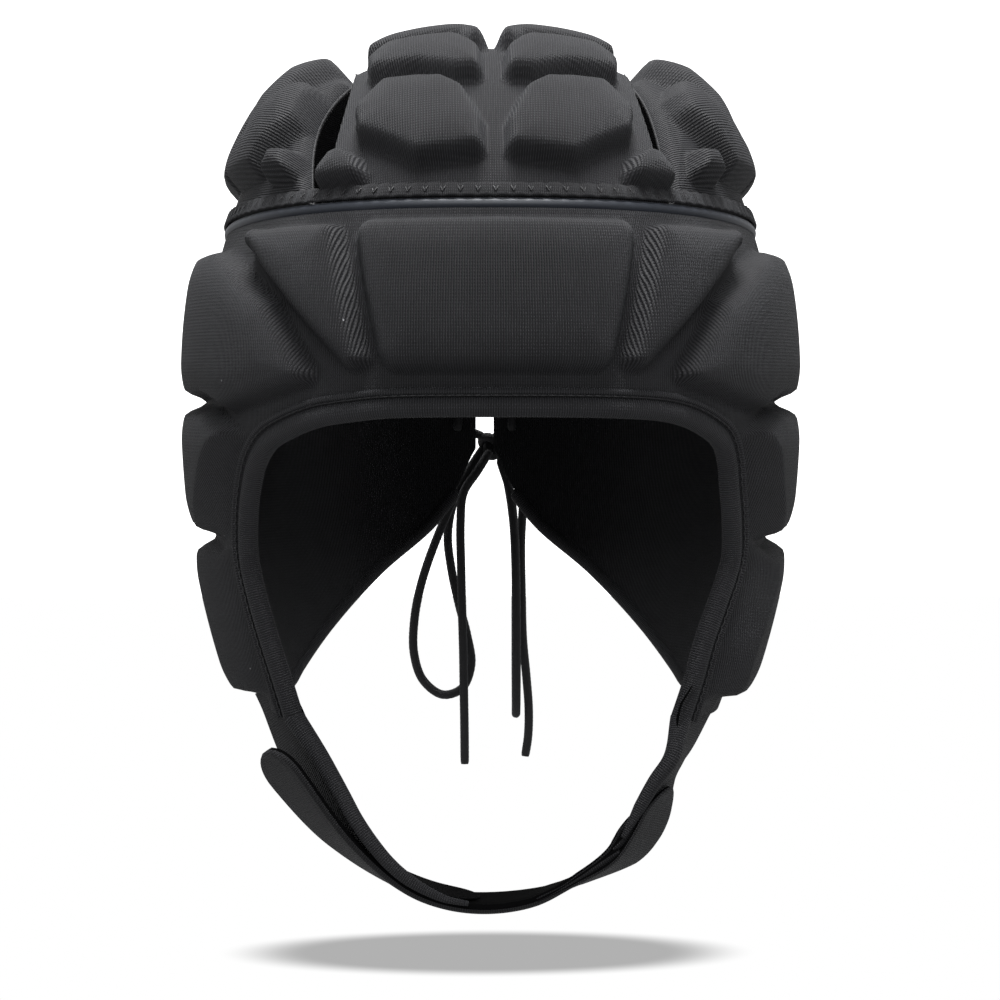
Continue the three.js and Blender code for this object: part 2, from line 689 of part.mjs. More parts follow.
// The lower edge from behind the cheek strap to the lace, just clear of the sheet
const NECK_TURNS = [76, 83, 90, 97, 103];

function neckBinding(sign) {
  const inset = NECK_ROLL / 2 + GAP;
  const level = HEM - inset;
  const hem = NECK_TURNS.map((turn) => sidePoint(sign * turn, level, SHEET / 2));
  const edge = napeOutline().slice(1).reverse();
  const arch = edge.map(([x, z], i) => {
    const before = edge[Math.max(0, i - 1)];
    const after = edge[Math.min(edge.length - 1, i + 1)];
    const ahead = new THREE.Vector2(after[0] - before[0], after[1] - before[1]).normalize();
    return [x - ahead.y * inset, z + ahead.x * inset];
  });
  const kept = arch.filter(([x, z]) => z > HEM - GAP && x > NECK_ROLL / 2 + GAP * 2);
  const corner = [kept[0][0] + GAP * 2, level];
  const path = [...hem, ...[corner, ...kept].map(([x, z]) => backPoint(sign * x, z, SHEET / 2))];
  return solidOf(sweep(path, () => circle(NECK_ROLL, 6), outward));
}

// Straps

// The chin strap's middle line, seen from the front: across as a share of the half width and
// drop as a share of the depth from the hem to the chin; from the sewn end to the free end
const CHIN_LINE = [
  { across: 0.545, drop: 0.55 },
  { across: 0.45, drop: 0.735 },
  { across: 0.30, drop: 0.87 },
  { across: 0.152, drop: 0.965 },
  { across: -0.035, drop: 1.0 },
  { across: -0.196, drop: 0.97 },
  { across: -0.343, drop: 0.885 },
  { across: -0.568, drop: 0.64 },
  { across: -0.765, drop: 0.33 },
  { across: -0.83, drop: 0.20 },
];
// Middle lines of the cheek straps, down from the hem; forward is a share of the half length
// and lean is how far the back edge stands out for each millimetre back
const LEFT_STRAP = [
  { across: 0.672, forward: 0.575, drop: -0.05, lean: 0.5 },
  { across: 0.622, forward: 0.575, drop: 0.19, lean: 0.38 },
  { across: 0.590, forward: 0.575, drop: 0.32, lean: 0.295 },
];
const RIGHT_STRAP = [
  { across: -0.745, forward: 0.46, drop: -0.05, lean: -0.45 },
  { across: -0.665, forward: 0.49, drop: 0.225, lean: -0.38 },
  { across: -0.582, forward: 0.53, drop: 0.42, lean: -0.31 },
  { across: -0.50, forward: 0.565, drop: 0.585, lean: -0.25 },
];
const CHIN_STEPS = 22;
const CHIN_OVERLAP = [12, 13, 14, 15]; // steps of the chin strap that the right cheek strap lies on

const chinDepth = CHIN_DROP + HEM;
const strapPoint = ({ across, forward, drop }) => (
  new THREE.Vector3(across * HEAD_HALF_WIDTH, -forward * HEAD_HALF_LENGTH, HEM - drop * chinDepth));

function chinPath() {
  const points = CHIN_LINE.map((row) => strapPoint({ ...row, forward: STRAP_FORWARD }));
  return new THREE.CatmullRomCurve3(points, false, 'centripetal').getSpacedPoints(CHIN_STEPS);
}

// Direction out of a strap that runs ahead and leans by so much, away from the head
function strapOut(ahead, lean) {
  return new THREE.Vector3(lean, 1, 0).cross(ahead).normalize();
}

const chinLean = (p) => CHIN_LEAN * p.x / HEAD_HALF_WIDTH;

function strap(path, leans, thicknesses) {
  const section = (i) => bar(STRAP_WIDTH, thicknesses[i]);
  return solidOf(sweep(path, section, (p, i, ahead) => strapOut(ahead, leans[i])));
}

// A path moved sideways by a distance, towards the head when it is positive
function beside(path, distance) {
  return path.map((p, i) => {
    const after = path[Math.min(path.length - 1, i + 1)];
    const ahead = after.clone().sub(path[Math.max(0, i - 1)]).normalize();
    return p.clone().addScaledVector(strapOut(ahead, chinLean(p)), distance);
  });
}

// The end of the left cheek strap, between the chin strap's two layers
function jointPath() {
  const chin = chinPath();
  const above = LEFT_STRAP[LEFT_STRAP.length - 1];
  const top = strapPoint({ ...above, forward: STRAP_FORWARD });
  const curve = new THREE.CatmullRomCurve3([top, chin[0], chin[1], chin[2]], false, 'centripetal');
  return [0.12, 0.34, 0.56, 0.78, 1].map((t) => curve.getPoint(t));
}

function chinStrap() {
  const chin = chinPath();
  const joint = jointPath();
  const spread = STRAP_END_THICKNESS / 2 + GAP * 2 + PRONG_THICKNESS / 2;
  const main = chin.slice(2);
  const thick = main.map((_, i) => (i === 0 ? spread * 2 + PRONG_THICKNESS : STRAP_THICKNESS));
  const layer = (path, side) => {
    const middle = [...path, chin[3]];
    return strap(beside(middle, side * spread), middle.map(chinLean), middle.map(() => PRONG_THICKNESS));
  };
  return strap(main, main.map(chinLean), thick).add(layer(joint.slice(1), -1)).add(layer(joint, 1));
}

function cheekStrapLeft() {
  const joint = jointPath().slice(0, -1);
  const points = [...LEFT_STRAP.map(strapPoint), ...joint.slice(1)];
  const leans = points.map((p, i) => (LEFT_STRAP[i] ? LEFT_STRAP[i].lean : chinLean(p)));
  const thick = points.map((_, i) => (i < LEFT_STRAP.length - 1 ? STRAP_THICKNESS : STRAP_END_THICKNESS));
  return strap(points, leans, thick).intersect(everythingBelow(HEM - GAP));
}

function cheekStrapRight() {
  const chin = chinPath();
  const laid = beside(chin, STRAP_THICKNESS + GAP);
  const points = [...RIGHT_STRAP.map(strapPoint), ...CHIN_OVERLAP.map((i) => laid[i]).reverse()];
  const leans = points.map((p, i) => (RIGHT_STRAP[i] ? RIGHT_STRAP[i].lean : chinLean(p)));
  const solid = strap(points, leans, points.map(() => STRAP_THICKNESS));
  return solid.intersect(everythingBelow(HEM - GAP));
}

// Lace

function knotMiddle() {
  return backPoint(2.7, -NAPE_DROP + 1, SHEET + LACE_DIAMETER * 1.9);
}

function knot(grow) {
  const ball = new THREE.SphereGeometry(0.5, 10, 7);
  ball.deleteAttribute('normal');
  ball.deleteAttribute('uv');
  ball.scale(KNOT_WIDTH + grow * 2, KNOT_DEPTH + grow * 2, KNOT_HEIGHT + grow * 2);
  ball.translate(...knotMiddle().toArray());
  return solidOf(ball);
}

function cord(points, steps, diameter = LACE_DIAMETER) {
  const curve = new THREE.CatmullRomCurve3(points, false, 'centripetal');
  const section = new THREE.Shape(circle(diameter, 8).map(([a, b]) => new THREE.Vector2(a, b)));
  return solidOf(new THREE.ExtrudeGeometry(section, { steps, extrudePath: curve, bevelEnabled: false }));
}

// One side's lacing: in at the top hole, across the slit, in again, down inside and out to the knot
function lacing(sign) {
  const [top, middle, low] = laceLevels();
  const x = sign * LACE_HOLE_INSET;
  const r = LACE_DIAMETER / 2;
  const inside = -r - GAP;
  const outside = SHEET + r + GAP;
  const over = sign > 0 ? outside + LACE_DIAMETER + GAP : outside;
  const tied = knotMiddle();
  return [
    backPoint(sign * GAP / 2, top, inside),
    backPoint(x * 0.7, top, inside),
    backPoint(x, top, -GAP),
    backPoint(x, top, SHEET + GAP),
    backPoint(x * 0.8, top - LACE_DIAMETER, outside + GAP),
    backPoint(0, (top + middle) / 2, over),
    backPoint(-x * 0.8, middle + LACE_DIAMETER, outside + GAP),
    backPoint(-x, middle, SHEET + GAP),
    backPoint(-x, middle, -GAP),
    backPoint(-x, middle - LACE_DIAMETER * 1.3, inside - GAP),
    backPoint(-x, low + LACE_DIAMETER * 1.3, inside - GAP),
    backPoint(-x, low, -GAP),
    backPoint(-x, low, SHEET + GAP),
    backPoint(-x * 0.8, low - LACE_DIAMETER * 0.6, outside + LACE_DIAMETER * 0.5),
    new THREE.Vector3(tied.x - sign * KNOT_WIDTH * 0.25, tied.y, tied.z + KNOT_HEIGHT * 0.2),
  ];
}

// The room that the lace takes up where it goes through the sheet
const laceWay = (sign) => cord(lacing(sign), LACE_STEPS, LACE_DIAMETER + GAP * 2);

// Routes of the bow's free cords from the knot, in millimetres
const BOW = {
  lace_loop_right: [
    [-0.3, 105.9, -118], [-7.2, 105.3, -129], [-15, 105, -146], [-21, 105, -163], [-23.5, 105.5, -176],
    [-23.6, 106, -187], [-20.6, 106.6, -196], [-14, 107.2, -201], [-7.6, 107.8, -199], [-4.4, 108.2, -191],
    [-5.8, 108.4, -181], [-8.4, 108.4, -171], [-11, 108.6, -159], [-12.2, 109, -147], [-9.8, 109.2, -135],
    [-4, 109, -125], [1, 108.4, -119],
  ],
  lace_tail_right: [
    [1.8, 103.5, -119], [-2.2, 102.5, -125.5], [-7, 102.8, -133], [-8, 103.2, -143], [-7.8, 103.5, -158],
    [-7.5, 103.6, -172], [-7.1, 103.6, -186], [-6.9, 103.6, -199], [-6.7, 103.6, -212], [-6.6, 103.6, -224],
  ],
  lace_loop_left: [
    [4.4, 108.4, -118], [7.4, 111.4, -127.5], [9.8, 114, -142], [10.7, 115.6, -158], [10.8, 116.2, -176],
    [10.8, 115.4, -193], [10.8, 112.7, -203.4], [10.7, 108.6, -207.6], [10.7, 104.4, -203.4],
    [10.7, 101.8, -193], [10.7, 101.4, -177], [10.5, 101.8, -160], [10, 102.6, -146], [8.6, 103.6, -133],
    [5.2, 104.6, -122],
  ],
  lace_tail_left: [
    [5.6, 105.2, -116], [11.6, 106.4, -121], [13, 107.8, -133], [12.4, 108.8, -150], [12.6, 108.8, -166],
    [13, 108.8, -182], [14.2, 108.8, -195], [15, 108.8, -206], [14.8, 108.8, -215], [13.8, 108.8, -222],
  ],
};

const clearKnot = knot(GAP);
const panels = crownPanels();
const solids = {
  ...panels,
  lower_shell: lowerShell().subtract(faceBinding(GAP)).subtract(laceWay(1)).subtract(laceWay(-1)),
  seam_tape: seamTape(),
  piping: piping(),
  face_binding: faceBinding(),
  neck_binding_left: neckBinding(1),
  neck_binding_right: neckBinding(-1),
  cheek_strap_left: cheekStrapLeft(),
  cheek_strap_right: cheekStrapRight(),
  chin_strap: chinStrap(),
  lace_left: cord(lacing(1), LACE_STEPS).subtract(clearKnot),
  lace_right: cord(lacing(-1), LACE_STEPS).subtract(clearKnot),
  lace_knot: knot(0),
};
Object.entries(BOW).forEach(([name, route]) => {
  const steps = Math.round(route.length * 1.2);
  solids[name] = cord(route.map((p) => new THREE.Vector3(...p)), steps).subtract(clearKnot);
});

const material = (name, color, roughness) => (
  new THREE.MeshStandardMaterial({ name, color, roughness, metalness: 0 }));
const knit = material('ribbed knit', 0x2b2b2e, 0.92);
const trim = material('smooth trim', 0x15171c, 0.7);
const cordage = material('braided lace', 0x1a1a1c, 0.85);

function materialOf(name) {
  if (name.startsWith('lace')) return cordage;
  return ['seam_tape', 'piping'].includes(name) ? trim : knit;
}

const cap = new THREE.Group();
Object.entries(solids).forEach(([name, solid]) => {
  const mesh = new THREE.Mesh(geometryFrom(solid), materialOf(name));
  mesh.name = name;
  cap.add(mesh);
});

export default cap;
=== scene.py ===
import math

import bpy
import numpy as np
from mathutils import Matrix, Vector


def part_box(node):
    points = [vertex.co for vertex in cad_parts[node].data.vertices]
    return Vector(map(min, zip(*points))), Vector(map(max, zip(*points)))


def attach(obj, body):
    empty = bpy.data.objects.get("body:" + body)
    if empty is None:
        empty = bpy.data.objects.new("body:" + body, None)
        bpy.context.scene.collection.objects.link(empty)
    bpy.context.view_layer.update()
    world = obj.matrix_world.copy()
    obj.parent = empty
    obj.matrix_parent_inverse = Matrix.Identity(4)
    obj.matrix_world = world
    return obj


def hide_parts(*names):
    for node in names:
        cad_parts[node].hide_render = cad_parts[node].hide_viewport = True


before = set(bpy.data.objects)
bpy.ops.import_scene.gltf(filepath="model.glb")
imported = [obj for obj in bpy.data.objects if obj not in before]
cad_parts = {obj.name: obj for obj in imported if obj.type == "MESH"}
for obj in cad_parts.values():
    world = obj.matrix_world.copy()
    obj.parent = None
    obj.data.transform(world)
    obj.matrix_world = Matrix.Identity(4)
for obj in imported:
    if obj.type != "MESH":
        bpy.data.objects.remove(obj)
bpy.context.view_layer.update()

# Camera: a metre in front of the cap, at the level of the ear pads and a degree to the
# wearer's right, so that the cap fills the square picture as a product picture does.
EYE = Vector((-0.0179, -0.9998, -0.100))
LOOK_DOWN = math.radians(1.84)
HEADING = math.radians(1.20)
VIEW_ANGLE = math.radians(17.23)

camera_data = bpy.data.cameras.new("camera")
camera_data.angle = VIEW_ANGLE
camera_data.clip_start = 0.05
camera = bpy.data.objects.new("camera", camera_data)
camera.location = EYE
camera.rotation_euler = (math.pi / 2 - LOOK_DOWN, 0, -HEADING)
bpy.context.scene.collection.objects.link(camera)
bpy.context.scene.camera = camera

# Bow: the lace's two loops and two tails, which hang free from the knot at the nape.
# Round braided polyester cord, 3 mm thick; the tails are cut off square and sealed.
MM = 0.001
LACE_DIAMETER = 0.003
BRAID_DEPTH = 0.00022        # how far the strands stand out
BRAID_STRANDS = 6            # strands that run each way round
BRAID_PITCH = 0.0095         # length of one turn of a strand
STRAND_SINK = 0.45           # share of its height that a strand loses where it goes under
CORD_SIDES = 24
CORD_STEP = 0.00042
CUT_END = 0.0008             # length over which a cord's end thins
CUT_END_SHARE = 0.16         # and how much of its thickness it loses there
CURVE_POINTS = 40            # points of a smooth curve between two given ones
BOW = {
    "lace_loop_right": ("object", [
        [-0.3, 105.9, -118], [-7.2, 105.3, -129], [-15, 105, -146], [-21, 105, -163],
        [-23.5, 105.5, -176], [-23.6, 106, -187], [-20.6, 106.6, -196], [-14, 107.2, -201],
        [-7.6, 107.8, -199], [-4.4, 108.2, -191], [-5.8, 108.4, -181], [-8.4, 108.4, -171],
        [-11, 108.6, -159], [-12.2, 109, -147], [-9.8, 109.2, -135], [-4, 109, -125],
        [1, 108.4, -119],
    ]),
    "lace_tail_right": ("bare", [
        [1.8, 103.5, -119], [-2.2, 102.5, -125.5], [-7, 102.8, -133], [-8, 103.2, -143],
        [-7.8, 103.5, -158], [-7.5, 103.6, -172], [-7.1, 103.6, -186], [-6.9, 103.6, -199],
        [-6.7, 103.6, -212], [-6.6, 103.6, -224],
    ]),
    "lace_loop_left": ("object", [
        [4.4, 108.4, -118], [7.4, 111.4, -127.5], [9.8, 114, -142], [10.7, 115.6, -158],
        [10.8, 116.2, -176], [10.8, 115.4, -193], [10.8, 112.7, -203.4], [10.7, 108.6, -207.6],
        [10.7, 104.4, -203.4], [10.7, 101.8, -193], [10.7, 101.4, -177], [10.5, 101.8, -160],
        [10, 102.6, -146], [8.6, 103.6, -133], [5.2, 104.6, -122],
    ]),
    "lace_tail_left": ("bare", [
        [5.6, 105.2, -116], [11.6, 106.4, -121], [13, 107.8, -133], [12.4, 108.8, -150],
        [12.6, 108.8, -166], [13, 108.8, -182], [14.2, 108.8, -195], [15, 108.8, -206],
        [14.8, 108.8, -215], [13.8, 108.8, -222],
    ]),
}


def smooth_route(points, step, joined=False):
    """Points a step apart on the smooth curve through the given ones."""
    points = np.asarray(points, dtype=float)
    if joined:
        padded = np.vstack([points[-1], points, points[:2]])
    else:
        padded = np.vstack([2 * points[0] - points[1], points, 2 * points[-1] - points[-2]])
    pieces = []
    for p0, p1, p2, p3 in zip(padded, padded[1:], padded[2:], padded[3:]):
        t0 = 0.0
        t1 = t0 + max(np.linalg.norm(p1 - p0), 1e-9) ** 0.5
        t2 = t1 + max(np.linalg.norm(p2 - p1), 1e-9) ** 0.5
        t3 = t2 + max(np.linalg.norm(p3 - p2), 1e-9) ** 0.5
        t = np.linspace(t1, t2, CURVE_POINTS, endpoint=False)[:, None]
        a1 = (t1 - t) / (t1 - t0) * p0 + (t - t0) / (t1 - t0) * p1
        a2 = (t2 - t) / (t2 - t1) * p1 + (t - t1) / (t2 - t1) * p2
        a3 = (t3 - t) / (t3 - t2) * p2 + (t - t2) / (t3 - t2) * p3
        b1 = (t2 - t) / (t2 - t0) * a1 + (t - t0) / (t2 - t0) * a2
        b2 = (t3 - t) / (t3 - t1) * a2 + (t - t1) / (t3 - t1) * a3
        pieces.append((t2 - t) / (t2 - t1) * b1 + (t - t1) / (t2 - t1) * b2)
    dense = np.vstack(pieces + [points[:1] if joined else points[-1:]])
    along = lengths_along(dense)
    count = max(2, round(along[-1] / step)) + 1
    even = np.linspace(0, along[-1], count)[:-1 if joined else None]
    return np.stack([np.interp(even, along, dense[:, k]) for k in range(3)], axis=1)


def lengths_along(points):
    return np.concatenate([[0], np.cumsum(np.linalg.norm(np.diff(points, axis=0), axis=1))])


def unit(vectors):
    return vectors / np.maximum(np.linalg.norm(vectors, axis=-1, keepdims=True), 1e-12)


def carried_frames(path, joined=False):
    """Two directions across a path at each of its points, carried along without twist."""
    ahead = unit(np.gradient(path, axis=0))
    if joined:
        ahead = unit(np.roll(path, -1, axis=0) - np.roll(path, 1, axis=0))
    start = np.cross(ahead[0], [0.3, 1, 0.2])
    side = [unit(start)]
    for direction in ahead[1:]:
        turned = side[-1] - direction * side[-1].dot(direction)
        side.append(unit(turned))
    side = np.array(side)
    return side, np.cross(ahead, side)


def cloth_mesh(name, points, faces, corner_uv, slots=None):
    """A smooth piece with its cloth coordinates, in millimetres, at each corner of each face."""
    mesh = bpy.data.meshes.new(name)
    mesh.from_pydata(np.asarray(points).tolist(), [], faces)
    layer = mesh.uv_layers.new(name="cloth")
    layer.data.foreach_set("uv", np.asarray(corner_uv, dtype=np.float32).ravel())
    mesh.polygons.foreach_set("use_smooth", np.ones(len(faces), dtype=bool))
    if slots is not None:
        mesh.polygons.foreach_set("material_index", np.asarray(slots, dtype=np.int32))
    mesh.update()
    mesh.validate()
    piece = bpy.data.objects.new(name, mesh)
    bpy.context.scene.collection.objects.link(piece)
    return piece


def tube_mesh(name, rings, uv, joined=False):
    """A closed skin through rings of points; its ends are closed flat unless it is joined."""
    rows, cols = rings.shape[:2]
    i, j = np.meshgrid(np.arange(rows if joined else rows - 1), np.arange(cols), indexing="ij")
    i, j = i.ravel(), j.ravel()
    across = np.stack([j, j, j + 1, j + 1], axis=1)
    ahead = np.stack([i, i + 1, i + 1, i], axis=1)
    faces = ((ahead % rows) * cols + across % cols).tolist()
    corner_uv = uv[ahead, across].reshape(-1, 2).tolist()
    if not joined:
        for row, turned in ((0, False), (rows - 1, True)):
            ring = list(range(row * cols, (row + 1) * cols))
            faces.append(ring[::-1] if turned else ring)
            corner_uv += [uv[row, 0].tolist()] * cols
    return cloth_mesh(name, rings.reshape(-1, 3), faces, corner_uv)


def braided_cord(name, path, joined=False):
    """A round braid along a path: strands cross over and under each other both ways round."""
    side, up = carried_frames(path, joined)
    along = lengths_along(path)
    round_share = np.arange(CORD_SIDES) / CORD_SIDES
    first = round_share[None, :] * BRAID_STRANDS + along[:, None] / BRAID_PITCH * BRAID_STRANDS
    second = round_share[None, :] * BRAID_STRANDS - along[:, None] / BRAID_PITCH * BRAID_STRANDS
    over = (np.floor(first) + np.floor(second)) % 2 < 1
    top = np.where(over, first, second) % 1
    length = np.where(over, second, first) % 1
    rounding = np.sqrt(np.maximum(0, 1 - (2 * top - 1) ** 2)) * (1 - STRAND_SINK * (2 * length - 1) ** 4)
    radius = LACE_DIAMETER / 2 - BRAID_DEPTH * (1 - rounding)
    if not joined:
        ends = np.minimum(along, along[-1] - along)
        radius *= (1 - CUT_END_SHARE * np.exp(-ends / CUT_END))[:, None]
    angle = round_share * 2 * math.pi
    rings = (path[:, None] + (radius * np.cos(angle))[..., None] * side[:, None]
             + (radius * np.sin(angle))[..., None] * up[:, None])
    wrap = np.arange(CORD_SIDES + 1) / CORD_SIDES * math.pi * LACE_DIAMETER / MM
    if joined:
        along = np.append(along, along[-1] + CORD_STEP)
    uv = np.stack(np.meshgrid(wrap, along / MM), axis=-1)
    return tube_mesh(name, rings, uv, joined)


def node(tree, kind, **values):
    made = tree.nodes.new(kind)
    for key, value in values.items():
        setattr(made, key, value)
    return made


def math_node(tree, operation, *inputs):
    made = node(tree, "ShaderNodeMath", operation=operation)
    for place, value in enumerate(inputs):
        if isinstance(value, (int, float)):
            made.inputs[place].default_value = value
        else:
            tree.links.new(value, made.inputs[place])
    return made.outputs[0]


def mixed_colour(tree, share, low, high):
    made = node(tree, "ShaderNodeMix", data_type="RGBA")
    for place, value in ((0, share), (6, low), (7, high)):
        if isinstance(value, tuple):
            made.inputs[place].default_value = (*value, 1)
        else:
            tree.links.new(value, made.inputs[place])
    return made.outputs[2]


def new_material(name, roughness, sheen, specular=0.35):
    """A material with a Principled shader, and the sheen that all the cap's fibres have."""
    material = bpy.data.materials.new(name)
    material.use_nodes = True
    tree = material.node_tree
    shader = tree.nodes["Principled BSDF"]
    shader.inputs["Roughness"].default_value = roughness
    shader.inputs["Specular IOR Level"].default_value = specular
    shader.inputs["Sheen Weight"].default_value = sheen
    shader.inputs["Sheen Roughness"].default_value = 0.4
    shader.inputs["Sheen Tint"].default_value = (0.9, 0.93, 1.0, 1)
    return material, tree, shader


def bumped(tree, shader, height, depth):
    """Gives a shader's surface a relief of some depth from a height."""
    bump = node(tree, "ShaderNodeBump")
    bump.inputs["Distance"].default_value = depth
    tree.links.new(height, bump.inputs["Height"])
    tree.links.new(bump.outputs[0], shader.inputs["Normal"])


def fibre_group():
    """Fine fibres and lint: a speckle for colour, a height, and rare pale specks of lint."""
    tree = bpy.data.node_groups.new("loose fibres", "ShaderNodeTree")
    tree.interface.new_socket("Place", in_out="INPUT", socket_type="NodeSocketVector")
    for name in ("Speckle", "Lint"):
        tree.interface.new_socket(name, in_out="OUTPUT", socket_type="NodeSocketFloat")
    inside, outside = node(tree, "NodeGroupInput"), node(tree, "NodeGroupOutput")
    fine = node(tree, "ShaderNodeTexNoise")
    fine.inputs["Scale"].default_value = 2600
    fine.inputs["Detail"].default_value = 3
    tree.links.new(inside.outputs["Place"], fine.inputs["Vector"])
    tree.links.new(fine.outputs["Fac"], outside.inputs["Speckle"])
    dots = node(tree, "ShaderNodeTexVoronoi")
    dots.inputs["Scale"].default_value = 62
    tree.links.new(inside.outputs["Place"], dots.inputs["Vector"])
    near = math_node(tree, "LESS_THAN", dots.outputs["Distance"], 0.018)
    tree.links.new(near, outside.inputs["Lint"])
    return tree


FIBRES = fibre_group()


def fibres(tree):
    place = node(tree, "ShaderNodeTexCoord").outputs["Object"]
    group = node(tree, "ShaderNodeGroup", node_tree=FIBRES)
    tree.links.new(place, group.inputs["Place"])
    return group.outputs["Speckle"], group.outputs["Lint"]


def lace_material():
    material, tree, shader = new_material("braided lace", 0.62, 0.12)
    speckle, _ = fibres(tree)
    cloth = node(tree, "ShaderNodeUVMap", uv_map="cloth").outputs[0]
    fine = node(tree, "ShaderNodeTexWave", wave_type="BANDS", bands_direction="DIAGONAL")
    fine.inputs["Scale"].default_value = 1.6
    fine.inputs["Distortion"].default_value = 2.5
    tree.links.new(cloth, fine.inputs["Vector"])
    share = math_node(tree, "MULTIPLY", speckle, fine.outputs["Fac"])
    colour = mixed_colour(tree, share, (0.006, 0.006, 0.007), (0.028, 0.028, 0.031))
    tree.links.new(colour, shader.inputs["Base Color"])
    bumped(tree, shader, fine.outputs["Fac"], 0.00006)
    return material


def dress(piece, slot_name, *materials):
    """Gives a piece its materials and its body; the slot name is not used."""
    for material in materials:
        piece.data.materials.append(material)
    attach(piece, "root")


lace = lace_material()
for cord_name, (far_end, route) in BOW.items():
    path = smooth_route(np.array(route) * MM, CORD_STEP)
    cord = braided_cord(cord_name + "_braid", path)
    dress(cord, "lace", lace)
    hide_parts(cord_name)

# Knot: the lace tied over itself, pulled tight at the middle of the nape.
# The same braid, laid in three crossing turns round the cords that leave it.
KNOT_TURN = 0.00128          # scale of the knot's turns
KNOT_DEPTH = 0.0017          # how far the turns pass in front of each other

knot_low, knot_high = (np.array(corner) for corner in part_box("lace_knot"))
knot_middle = (knot_low + knot_high) / 2
turn = np.linspace(0, 2 * math.pi, 36, endpoint=False)
knot_path = knot_middle + np.stack([
    KNOT_TURN * (np.sin(turn) + 2 * np.sin(2 * turn)),
    -KNOT_DEPTH * np.sin(3 * turn),
    KNOT_TURN * (np.cos(turn) - 2 * np.cos(2 * turn)),
], axis=1)
knot = braided_cord("lace_knot_braid", smooth_route(knot_path, CORD_STEP, joined=True), joined=True)
dress(knot, "lace", lace)
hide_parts("lace_knot")

# Centre strip of the crown: ribbed knit laminated on foam and pressed into pads, in one piece
# from brow to nape. Its long edges are cut raw beside the slits, and both ends go under the tape.
HEAD_HALF_WIDTH = 0.082
HEAD_HALF_LENGTH = 0.099
CROWN_HEIGHT = 0.100
NECK_DROP = 0.093
FORM_POWER = 2.35
JAW_NARROWING = 0.20
CHIN_NARROWING = 0.09
NAPE_NARROWING = 0.28
WIDEST = -CROWN_HEIGHT
HEM = WIDEST - NECK_DROP
SHEET = 0.003
PAD_RISE = 0.0074
PAD_CORNER = 0.0038          # radius of a pad's corners
PAD_WALL = 0.0036            # width of its steep side
PAD_DOME = 0.011             # how far in from its edge it still rises
PAD_FOOT = 0.0004            # how far outside its edge the steep side starts
SMALL_CORNER = 0.24          # a small pad's corner radius, as a share of its area's square root
WALL_SHARE = 0.78            # share of the rise at the top of the steep side
DOME_SHARE = 0.27            # and from there to the middle
SEAM_DROP = 0.0533
SEAM_TILT = math.radians(3.5)
PIPING_DIAMETER = 0.0032
GAP = 0.0003
STRIP_HALF_WIDTH = 0.040
STRIP_END_HALF_WIDTH = 0.049
SEAM_REACH = 0.77            # share of the half length at which the strip meets the seam
STRIP_LENGTH = 0.235         # on the cloth, from brow to nape
STRIP_CELL = 0.0009
# Pads: across as a share of the half width, and degrees over the head from the brow
STRIP_PADS = [
    [[0.60, 36.5], [0.585, 39.5], [0.54, 42.2], [0.49, 42.4], [0.44, 39.5], [0.425, 36.5], [0.45, 34.6]],
    [[0.03, 37], [0.03, 43], [0.09, 50.5], [0.16, 53.5], [0.37, 55.5], [0.47, 49], [0.455, 43.5],
     [0.26, 36]],
    [[0.03, 54.5], [0.03, 63], [0.10, 70.5], [0.37, 72.5], [0.435, 65], [0.42, 59.5],
     [0.25, 57.5], [0.13, 54.5]],
    [[0.03, 69], [0.03, 95], [0.12, 101], [0.40, 101], [0.44, 95], [0.44, 79], [0.38, 76], [0.12, 74]],
    [[0.03, 99], [0.04, 117], [0.14, 128], [0.40, 126], [0.45, 118], [0.43, 105], [0.13, 105]],
    [[0.03, 121], [0.03, 151], [0.36, 149], [0.54, 143], [0.47, 131], [0.14, 132]],
]
UPPER_SIDE_PADS = [
    [[0.485, 88], [0.495, 76], [0.60, 70], [0.665, 62.5], [0.74, 60], [0.79, 64], [0.77, 74], [0.66, 88]],
    [[0.49, 92], [0.66, 92], [0.70, 104], [0.70, 110], [0.57, 114], [0.53, 102]],
]
# Pads round the side: degrees from the face, and drop below the seam as a share of its height
# above the hem; a negative drop is above the seam
LOWER_SIDE_PADS = [
    [[38, -0.045], [40.5, -0.10], [46, -0.105], [48.5, -0.045]],
    [[43, -0.165], [46, -0.205], [53, -0.235], [62, -0.20], [70, -0.15], [73, -0.065], [52, -0.065]],
    [[80, -0.075], [79, -0.25], [102, -0.25], [102, -0.075]],
    [[105.5, -0.075], [106, -0.25], [121, -0.25], [133, -0.19], [127, -0.075]],
    [[130, -0.07], [137, -0.15], [142, -0.13], [142, -0.07]],
]


def half_axes(level, out):
    u = np.maximum(0, (WIDEST - level) / NECK_DROP)
    return (HEAD_HALF_WIDTH * (1 - JAW_NARROWING * u ** 2.2) + out,
            HEAD_HALF_LENGTH * (1 - CHIN_NARROWING * u ** 1.5) + out,
            HEAD_HALF_LENGTH * (1 - NAPE_NARROWING * u ** 1.8) + out)


def crown_share(level, out):
    rise = np.clip((level - WIDEST) / (CROWN_HEIGHT + out), 0, 1)
    return (1 - rise ** FORM_POWER) ** (1 / FORM_POWER)


def side_point(degrees, level, out):
    """A point of the head form by its turn from the face and its level, grown by out."""
    degrees, level, out = np.broadcast_arrays(degrees, level, out)
    side, front, back = half_axes(level, out)
    x, y = np.sin(np.radians(degrees)), -np.cos(np.radians(degrees))
    length = np.where(y < 0, front, back)
    total = np.abs(x / side) ** FORM_POWER + np.abs(y / length) ** FORM_POWER
    radius = crown_share(level, out) * total ** (-1 / FORM_POWER)
    return np.stack([x * radius, y * radius, level], axis=-1)


